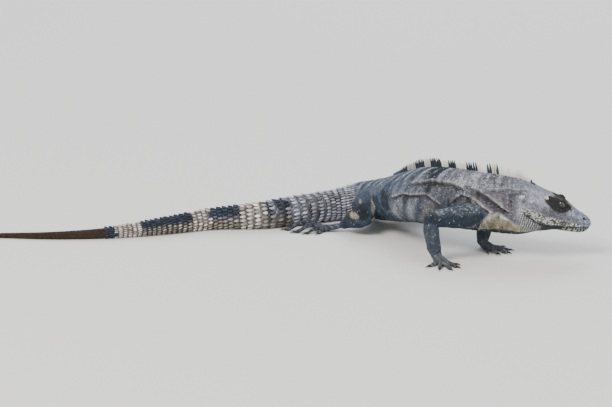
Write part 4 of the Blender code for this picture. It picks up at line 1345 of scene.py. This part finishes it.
# a thin sunken drum, a little smoother than the hide round it
def makeEardrum(side, word):
    centre = earCentre(side)
    where, out, _ = ontoSkin(centre[None])
    centre, out = where[0], out[0]
    deselectAll()
    bpy.ops.mesh.primitive_uv_sphere_add(
        segments=32, ring_count=12, radius=1, location=place(centre - out * ear["thick"] * 0.5),
        rotation=Vector(out).to_track_quat("Z", "Y").to_euler(),
        scale=np.array([ear["radius"], ear["radius"] * 1.1, ear["thick"]]) * mm)
    piece = bpy.context.object
    piece.name = piece.data.name = f"eardrum_{word}Skin"
    bpy.ops.object.transform_apply(location=True, rotation=True, scale=True)
    bpy.ops.object.shade_smooth()
    points = toModel(readPoints(piece))
    reach = np.linalg.norm(points - centre, axis=1) / ear["radius"]
    colours = np.tile(hideColours["underEye"], (len(points), 1))
    colours = mixed(colours, "temple", smoothStep(*ear["paleRim"], reach))
    size, dark, more = ear["mottle"]
    writeMarking(piece.data, colours * (dark + more * smoothNoise(points, size, 61))[:, None])
    piece.data.materials.append(drumHide)
    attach(piece, "root")
    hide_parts(f"eardrum_{word}")


applyModifier(skinPiece, "TRIANGULATE")
paintSkin(skinPiece)
print("stage: skin painted")
skinTree = BVHTree.FromObject(skinPiece, bpy.context.evaluated_depsgraph_get())
skinNormals = readNormals(skinPiece)
skinCorners = np.empty(len(skinPiece.data.polygons) * 3, np.int32)
skinPiece.data.polygons.foreach_get("vertices", skinCorners)
skinCorners = skinCorners.reshape(-1, 3)


# the nearest places on the skin: where, which way is out, and how far off they were
def ontoSkin(points):
    hits = [skinTree.find_nearest(Vector(point)) for point in place(points)]
    where = toModel(np.array([hit[0] for hit in hits]))
    index = np.array([hit[2] for hit in hits])
    out = unit(skinNormals[skinCorners[index]].mean(axis=1))
    return where, out, np.array([hit[3] for hit in hits]) / mm


# a scale with a keel that points backwards along x; each scale is about 1 long, wide and high
def keeledScale():
    bpy.ops.mesh.primitive_cone_add(
        vertices=6, radius1=0.5, radius2=0, depth=1.3, location=(0, 0, 0.35), end_fill_type="NGON")
    bpy.ops.object.transform_apply(location=True, rotation=True, scale=True)
    selectCorners(bpy.context.object, lambda at: at.z > 0.9)
    bpy.ops.transform.translate(value=(0.24, 0, 0))
    selectCorners(bpy.context.object, lambda at: at.z < 0 and at.x > 0.2)
    bpy.ops.transform.translate(value=(0.12, 0, 0.4))
    bpy.ops.object.mode_set(mode="OBJECT")


# a round, flat-topped bead
def granule():
    bpy.ops.mesh.primitive_cone_add(
        vertices=6, radius1=0.54, radius2=0.3, depth=1.0, location=(0, 0, 0.2), end_fill_type="NGON")
    bpy.ops.object.transform_apply(location=True, rotation=True, scale=True)


# a low plate, a little higher at its rear
def headPlate():
    bpy.ops.mesh.primitive_cone_add(
        vertices=6, radius1=0.56, radius2=0.44, depth=0.9, location=(0, 0, 0.1), end_fill_type="NGON")
    bpy.ops.object.transform_apply(location=True, rotation=True, scale=True)
    selectCorners(bpy.context.object, lambda at: at.z > 0 and at.x > 0.1)
    bpy.ops.transform.translate(value=(0, 0, 0.12))
    bpy.ops.object.mode_set(mode="OBJECT")


# a block that narrows outwards
def lipShield():
    bpy.ops.mesh.primitive_cube_add(size=1, location=(0, 0, 0))
    piece = bpy.context.object
    bpy.ops.object.transform_apply(location=True, rotation=True, scale=True)
    selectCorners(piece, lambda at: at.z > 0)
    bpy.ops.transform.resize(value=(0.78, 0.72, 1))
    bpy.ops.object.mode_set(mode="OBJECT")
    piece.data.update()


# a long scale that rises to a spine at its rear
def spinyScale():
    bpy.ops.mesh.primitive_cone_add(
        vertices=8, radius1=0.54, radius2=0.16, depth=1.2, location=(0, 0, 0.3), end_fill_type="NGON")
    bpy.ops.object.transform_apply(location=True, rotation=True, scale=True)
    selectCorners(bpy.context.object, lambda at: at.z > 0.5)
    bpy.ops.transform.resize(value=(2.0, 0.4, 1))
    bpy.ops.transform.translate(value=(0.28, 0, 0))
    selectCorners(bpy.context.object, lambda at: at.z > 0.5 and at.x > 0.4)
    bpy.ops.transform.translate(value=(0.26, 0, 0.5))
    bpy.ops.object.mode_set(mode="OBJECT")


patterns = {
    "keeled": modelled(keeledScale), "granule": modelled(granule), "plate": modelled(headPlate),
    "shield": modelled(lipShield), "spiny": modelled(spinyScale),
}


# places on the body's shaped skin, as layScales takes them
def onBody(stations, angles):
    _, forward, _, _ = lineFrames(stations)
    lift = bodyLift(stations, angles, bodySurface(stations, angles)) - skin["inset"]
    raw = bodySurface(stations, angles, lift)
    shapeEyes(raw)
    return {"raw": raw, "lie": -forward, "part": np.full(len(stations), -1),
            "along": stations, "around": (angles + 180) % 360 - 180}


# one row of evenly spaced places right round the body
def bodyRow(station, width, odd=0):
    turns = np.linspace(-180, 180, 181)
    ring = bodySurface(np.full(181, station), turns)
    lengths = np.concatenate([[0], np.cumsum(np.linalg.norm(np.diff(ring, axis=0), axis=1))])
    count = max(5, round(lengths[-1] / width))
    along = (np.arange(count) + 0.5 * odd + 0.25) / count * lengths[-1]
    return np.column_stack([np.full(count, station), np.interp(along, lengths, turns)])


# staggered rows over a length of the body; step and width may change along it
def bodyRows(low, high, step, width):
    rows, station, odd = [], low, 0
    while station < high:
        rows.append(bodyRow(station, float(width(station)), odd))
        station += float(step(station))
        odd = 1 - odd
    return np.concatenate(rows)


# staggered rows round the given lengths of limb, each row square to the limb
def limbRows(names, step, width):
    raw, lie, part, along, around = [], [], [], [], []
    for name in names:
        path, flat, knuckles = limbs[name]
        rings, centres, _ = tubeRings(path, 48, 8, flat, 0.0, knuckles)
        rings = np.array([np.vstack([ring, ring[:1]]) for ring in rings])
        ends = [rings[i].mean(axis=0) * 0.9 + rings[i] * 0.1 for i in (0, -1)]
        rings = np.concatenate([[ends[0]], rings, [ends[1]]])
        centres = rings[:, :-1].mean(axis=1)
        lengths = np.linalg.norm(np.diff(rings, axis=0), axis=2).mean(axis=1)
        lengths = np.concatenate([[0], np.cumsum(lengths)])
        for number, at in enumerate(np.arange(step * 0.4, lengths[-1], step)):
            i = min(np.searchsorted(lengths, at, "right") - 1, len(lengths) - 2)
            share = (at - lengths[i]) / (lengths[i + 1] - lengths[i])
            ring = rings[i] * (1 - share) + rings[i + 1] * share
            rim = np.concatenate([[0], np.cumsum(np.linalg.norm(np.diff(ring, axis=0), axis=1))])
            count = max(5, round(rim[-1] / width))
            places = (np.arange(count) + 0.5 * (number % 2) + 0.25) / count * rim[-1]
            raw.append(np.column_stack([np.interp(places, rim, ring[:, axis]) for axis in range(3)]))
            ahead = centres[min(i + 2, len(centres) - 1)] - centres[max(i - 1, 0)]
            lie.append(np.tile(ahead, (count, 1)))
            part.append(np.full(count, limbNames.index(name)))
            along.append(np.full(count, at / lengths[-1]))
            around.append(places / rim[-1])
    return {"raw": np.concatenate(raw), "lie": np.concatenate(lie), "part": np.concatenate(part),
            "along": np.concatenate(along), "around": np.concatenate(around)}


# lays copies of one pattern over the skin at the given places. Each is kept only where its own part is the
# nearest. vary is how much the scales differ in colour, loose how far they wander, and paleShare how many
# are pale.
def layScales(name, pattern, spots, length, width, height, seed, keep=None, reach=3.0, vary=0.32,
              loose=0.12, shading=(0.5, 1.2), paleShare=0.0):
    chance = np.random.default_rng(seed)
    count = len(spots["raw"])
    sizes = np.column_stack([np.broadcast_to(size, count) for size in (length, width, height)]).astype(float)
    nudge = chance.normal(0, loose, (count, 3)) * sizes[:, :2].mean(axis=1)[:, None] * 0.5
    where, out, gap = ontoSkin(spots["raw"] + nudge)
    known = standing(where)
    stations, angles, bodyGap, parts, _, limbGap = known
    onLimb = spots["part"] >= 0
    mine = np.where(onLimb, (limbGap < bodyGap) & (parts == spots["part"]), bodyGap <= limbGap)
    mine &= gap < reach
    if keep is not None:
        mine &= keep(stations, angles, where)
    known = tuple(values[mine] for values in known)
    where, out, sizes = where[mine], out[mine], sizes[mine]
    count = len(where)
    tint = paintAt(where, known) * np.exp(chance.normal(0, vary, count))[:, None]
    tint = mixed(tint, "speck", (chance.random(count) < paleShare) * chance.uniform(0.15, 0.65, count))
    sizes = sizes * chance.uniform(0.88, 1.12, (count, 3))
    return joinedCopies(name, patterns[pattern], where, spots["lie"][mine], out, sizes,
                        np.clip(tint, 0.001, 1), coatUnwrap(spots, mine), scaleHide, shading)


# each place on an unwrap of its own part of the skin: along it and round it, the limbs one above another
def coatUnwrap(spots, mine):
    part, along, around = spots["part"][mine], spots["along"][mine], spots["around"][mine]
    if part[0] < 0:
        low, high = along.min(), along.max()
        return np.column_stack([0.02 + 0.96 * (along - low) / max(high - low, 1), 0.5 + around / 375])
    strips, index = np.unique(part, return_inverse=True)
    tall = 0.96 / len(strips)
    return np.column_stack([0.02 + 0.96 * along, 0.02 + tall * (index + 0.05 + 0.9 * (around % 1))])


headEnd = {"station": 93, "wander": 20, "lumps": 6}


# where the granules of the head give way to the keeled scales of the neck
def pastHead(stations, where):
    wander = headEnd["wander"] * (smoothNoise(where, headEnd["lumps"], 71) - 0.5)
    return stations > headEnd["station"] + wander


bodyCoat = {
    "row": 1.5, "width": 1.65, "overlap": 1.4, "spread": 1.2, "height": 0.5,
    # name: from and to which station, size against the others, share of pale scales
    "lengths": {
        "neckScales": (82, 150, 0.92, 0.045), "shoulderScales": (150, 205, 1.0, 0.03),
        "flankScales": (205, 290, 1.08, 0.012), "hipScales": (290, 352.5, 1.14, 0.01),
    },
}


def makeBodyCoat():
    row, width = bodyCoat["row"], bodyCoat["width"]
    for name, (low, high, share, paleShare) in bodyCoat["lengths"].items():
        places = bodyRows(low, high, lambda s: row * share, lambda s: width * share)
        layScales(name, "keeled", onBody(*places.T), row * share * bodyCoat["overlap"],
                  width * share * bodyCoat["spread"], bodyCoat["height"], low,
                  lambda stations, angles, where: pastHead(stations, where), reach=4.5, paleShare=paleShare)


headCoat = {
    "from": 1.2, "to": 104, "plateEnd": 34,
    "row": 1.35, "width": 1.5, "overlap": 1.18, "spread": 1.12, "height": 0.42,
    # station and size against the others
    "size": ((5, 1.25), (28, 1.6), (40, 1.15), (62, 0.95), (92, 1.0)),
    "tipSize": 2.1, "tipHeight": 0.8,
}
lipCoat = {"rows": (1.2, -1.2), "start": 2.0, "end": 73, "pitch": 1.9, "high": 1.45, "thick": 0.8}


# how far the head's scales keep from each feature, in mm
clearOf = {"shields": 0.65, "mouth": 0.8, "nostril": 1.9, "lids": -0.2, "ear": 0.7}


# where the head's scales may lie: off the lips, the nostrils, the lids and the ears
def offFeatures(stations, angles, where):
    fromSide = foldedAngle(angles)
    scale = arcScale(stations)
    aboveLip = (fromSide - lipAngle(stations)) * scale
    kept = ~((np.abs(aboveLip) < lipCoat["high"] + clearOf["shields"]) & (stations < 74) & (stations > 2))
    kept &= ~((np.abs(aboveLip) < clearOf["mouth"]) & (stations < 80)) & ~pastHead(stations, where)
    nostrilAt, nostrilUp = face["nostril"]
    kept &= np.hypot(stations - nostrilAt, (fromSide - nostrilUp) * scale) > clearOf["nostril"]
    for side in (-1, 1):
        centre, look, _, _ = eyeFrame(side)
        away = where - centre
        across = np.linalg.norm(np.cross(away, look), axis=1)
        kept &= ~((across < lids["reach"] + clearOf["lids"]) & (away @ look > 0) & (away @ look < 9))
        kept &= np.linalg.norm(where - earCentre(side), axis=1) > ear["radius"] + clearOf["ear"]
    return kept


# the mouth's height at the tip of the snout
tipMouth = float(linePoints(np.zeros(1))[0, 2] + through(mouthLine, 0.0))


# places over the blunt tip of the snout
def snoutTip():
    turns = np.linspace(-180, 180, 181)
    ring = bodySurface(np.zeros(181), turns)
    middle = ring.mean(axis=0)
    raw = [middle[None]]
    for share in (0.3, 0.55, 0.8):
        count = round(2 * math.pi * share * np.linalg.norm(ring[0] - middle) / 1.8)
        index = (np.arange(max(count, 4)) / max(count, 4) * 180).astype(int)
        raw.append(middle + (ring[index] - middle) * share)
    raw = np.concatenate(raw)
    count = len(raw)
    return {"raw": raw, "lie": np.tile([0.0, 0, 1], (count, 1)), "part": np.full(count, -1),
            "along": np.arange(count) / count * 20.0, "around": np.zeros(count)}


def makeHeadCoat():
    def share(station):
        return straight(headCoat["size"], station)

    row, width = headCoat["row"], headCoat["width"]
    places = bodyRows(headCoat["from"], headCoat["to"], lambda s: row * share(s), lambda s: width * share(s))
    size = share(places[:, 0])
    front = places[:, 0] < headCoat["plateEnd"]
    tip = headCoat["tipSize"]
    layScales("rostralPlates", "plate", snoutTip(), tip, tip, headCoat["tipHeight"], 5,
              lambda stations, angles, where: np.abs(where[:, 2] - tipMouth) > 0.8, loose=0.05)
    for name, chosen, pattern in (("snoutPlates", front, "plate"), ("headGranules", ~front, "granule")):
        layScales(name, pattern, onBody(*places[chosen].T), row * size[chosen] * headCoat["overlap"],
                  width * size[chosen] * headCoat["spread"], headCoat["height"] * size[chosen], 7,
                  offFeatures, reach=6.0, loose=0.2 if pattern == "granule" else 0.1, shading=(0.7, 1.08))


# a row of shields along each lip
def makeLips():
    stations, angles = [], []
    for row, offset in enumerate(lipCoat["rows"]):
        at = np.arange(lipCoat["start"] + 0.4 * row, lipCoat["end"], lipCoat["pitch"])
        fromSide = lipAngle(at) + offset / arcScale(at)
        stations += [at, at]
        angles += [fromSide, 180 - fromSide]
    stations, angles = np.concatenate(stations), np.concatenate(angles)
    layScales("lipShields", "shield", onBody(stations, (angles + 180) % 360 - 180), lipCoat["pitch"],
              lipCoat["high"], lipCoat["thick"], 9, reach=4.0, loose=0.03, vary=0.3, shading=(0.55, 1.15))


lids = {"rings": 6, "bead": 0.92, "edgeBead": 1.15, "high": 0.6, "reach": 6.4, "start": 0.35, "packing": 0.92}


# rings of fine beads round each eye, the first along the edges of the lids
def makeLids():
    raw, lie, sizes = [], [], []
    for side in (-1, 1):
        centre, look, ahead, over = eyeFrame(side)
        for ring in range(lids["rings"]):
            size = lids["edgeBead"] if ring == 0 else lids["bead"]
            grow = lids["start"] + ring * lids["bead"] * lids["packing"]
            long, high = face["openLong"] + grow, face["openHigh"] + grow
            count = round(math.pi * (long + high) / size)
            for turn in (np.arange(count) + 0.5 * (ring % 2)) / count * 2 * math.pi:
                x, y = math.cos(turn) * long, math.sin(turn) * high
                if math.hypot(x, y) > lids["reach"]:
                    continue
                deep = math.sqrt(max(eye["radius"] ** 2 - x * x - y * y, 0))
                way = unit(look * deep + ahead * x + over * y)
                raw.append(centre + way * (eye["radius"] + face["lidClearance"]))
                lie.append(over * math.copysign(1, y))
                sizes.append(size)
    count, sizes = len(raw), np.array(sizes)
    spots = {"raw": np.array(raw), "lie": np.array(lie), "part": np.full(count, -1),
             "along": np.arange(count) / count * 100.0, "around": np.zeros(count)}
    layScales("lidBeads", "granule", spots, sizes, sizes * 1.05, lids["high"] * sizes, 13, reach=3,
              loose=0.03)


tailCoat = {
    # station and how many spines a ring has
    "spines": ((352, 52), (372, 40), (400, 29), (430, 24), (694, 22)),
    # pattern, height, width against the spacing, shading from base to tip
    "tailSpines": ("spiny", 2.1, 1.08, (0.3, 1.7)),
    "tailPlates": ("keeled", 0.7, 1.3, (0.6, 1.1)),
    "size": ((352, 0.35), (405, 1.0), (694, 0.72)),
    # shares of a ring: where its flat rows start, over what length they go, and where the spines stand
    "platesFrom": 0.04, "platesOver": 0.36, "plateLength": 0.5, "spinesAt": 0.62, "spineLength": 0.74,
    "longRing": 8.5,      # a longer ring has three flat rows, not two
    "closest": 2.4,       # the least spacing of scales
    "regrownStep": ((694, 2.3), (900, 1.6)),
    "regrown": (3.0, 2.2, 0.5),
}



def makeTailCoat():
    found = {"tailSpines": [], "tailPlates": []}
    for number, (low, high) in enumerate(zip(tailWhorls, tailWhorls[1:])):
        pitch = high - low
        wide, high, deep, _ = girthAt(low)
        around = math.pi * float(2 * wide + high + deep) / 2
        spacing = max(around / through(tailCoat["spines"], low), tailCoat["closest"])
        rows = 3 if pitch > tailCoat["longRing"] else 2
        kinds = [("tailPlates", tailCoat["platesFrom"] + tailCoat["platesOver"] * k / (rows - 1), k % 2,
                  tailCoat["plateLength"]) for k in range(rows)]
        kinds.append(("tailSpines", tailCoat["spinesAt"], 1, tailCoat["spineLength"]))
        for kind, offset, odd, length in kinds:
            row = bodyRow(low + offset * pitch, spacing, (number + odd) % 2)
            size = np.tile([length * pitch, spacing], (len(row), 1))
            found[kind].append(np.column_stack([row, size]))
    for kind in found:
        pattern, height, wide, shading = tailCoat[kind]
        table = np.concatenate(found[kind])
        upper = 0.75 + 0.45 * smoothStep(20, 90, foldedAngle(table[:, 1]))
        size = height * upper * straight(tailCoat["size"], table[:, 0])
        layScales(kind, pattern, onBody(*table[:, :2].T), table[:, 2], table[:, 3] * wide, size, 17, reach=4,
                  loose=0.04, shading=shading)
    step = tailCoat["regrownStep"]
    places = bodyRows(step[0][0], tailTip - 4, lambda s: straight(step, s), lambda s: 1.9)
    layScales("regrownScales", "keeled", onBody(*places.T), *tailCoat["regrown"], 19, reach=4, loose=0.2,
              vary=0.25)


# the lengths of limb, the rows' pitch, the scales' width and height
limbCoat = {
    "armScales": (("upperArm", "forearm"), 1.55, 1.65, 0.5),
    "legScales": (("thigh", "shank"), 1.7, 1.8, 0.52),
    "footScales": (("palm", "sole"), 1.35, 1.45, 0.42),
}
toeCoat = {"row": 1.7, "width": 1.9, "size": (2.5, 2.3, 0.42)}


def makeLimbCoat():
    for number, (name, (words, row, width, height)) in enumerate(limbCoat.items()):
        whole = [n for n in limbNames if n.split(".")[0] in words]
        spots = limbRows(whole, row, width)
        layScales(name, "keeled", spots, row * bodyCoat["overlap"], width * bodyCoat["spread"], height,
                  23 + number, reach=4.0, paleShare=0.02 if name == "armScales" else 0.006, vary=0.28)
    digitNames = [n for n in limbNames if "Digit" in n]
    layScales("toeScales", "keeled", limbRows(digitNames, toeCoat["row"], toeCoat["width"]), *toeCoat["size"],
              29, reach=3.0, vary=0.2, loose=0.05)


makeBodyCoat()
makeHeadCoat()
makeLips()
makeLids()
makeTailCoat()
makeLimbCoat()


makeCrest()
makeClaws()
makeEye(-1, "right")
makeEye(1, "left")
makeEardrum(-1, "right")
makeEardrum(1, "left")
fleshNodes = [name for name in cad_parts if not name.startswith(("claw", "eye_", "eardrum"))]
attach(skinPiece, "root")
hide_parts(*fleshNodes)
skinPiece.data.materials.append(skinHide)
makeActive(skinPiece)
bpy.ops.object.shade_smooth()


# the camera, the pale floor, three soft lights and the light of the room
def makeStudio():
    bpy.ops.object.camera_add(location=camera["place"], rotation=(math.radians(camera["tilt"]), 0, 0))
    made = bpy.context.object
    made.name = "viewCamera"
    made.data.sensor_width = camera["sensor"]
    made.data.lens = camera["lens"]
    made.data.clip_end = camera["far"]
    bpy.context.scene.camera = made
    bpy.ops.mesh.primitive_plane_add(size=studio["floorSize"], location=(0, 0, studio["floorHeight"]))
    floor = bpy.context.object
    floor.name = "studioFloor"
    paint, _ = newMaterial("paintedFloor", studio["floorColour"], 0.9)
    floor.data.materials.append(paint)
    for name, (where, size, watts, colour) in studio["lights"].items():
        bpy.ops.object.light_add(type="AREA", location=where)
        light = bpy.context.object
        light.name = name
        light.data.size = size
        light.data.energy = watts
        light.data.color = list(colourOf(colour))
        ray = Vector(studio["lightsAim"]) - light.location
        light.rotation_euler = ray.to_track_quat("-Z", "Y").to_euler()
    world = bpy.data.worlds.new("studioWorld")
    world.use_nodes = True
    world.node_tree.nodes["Background"].inputs["Color"].default_value = (*colourOf(studio["worldColour"]), 1)
    world.node_tree.nodes["Background"].inputs["Strength"].default_value = studio["worldStrength"]
    bpy.context.scene.world = world


makeStudio()
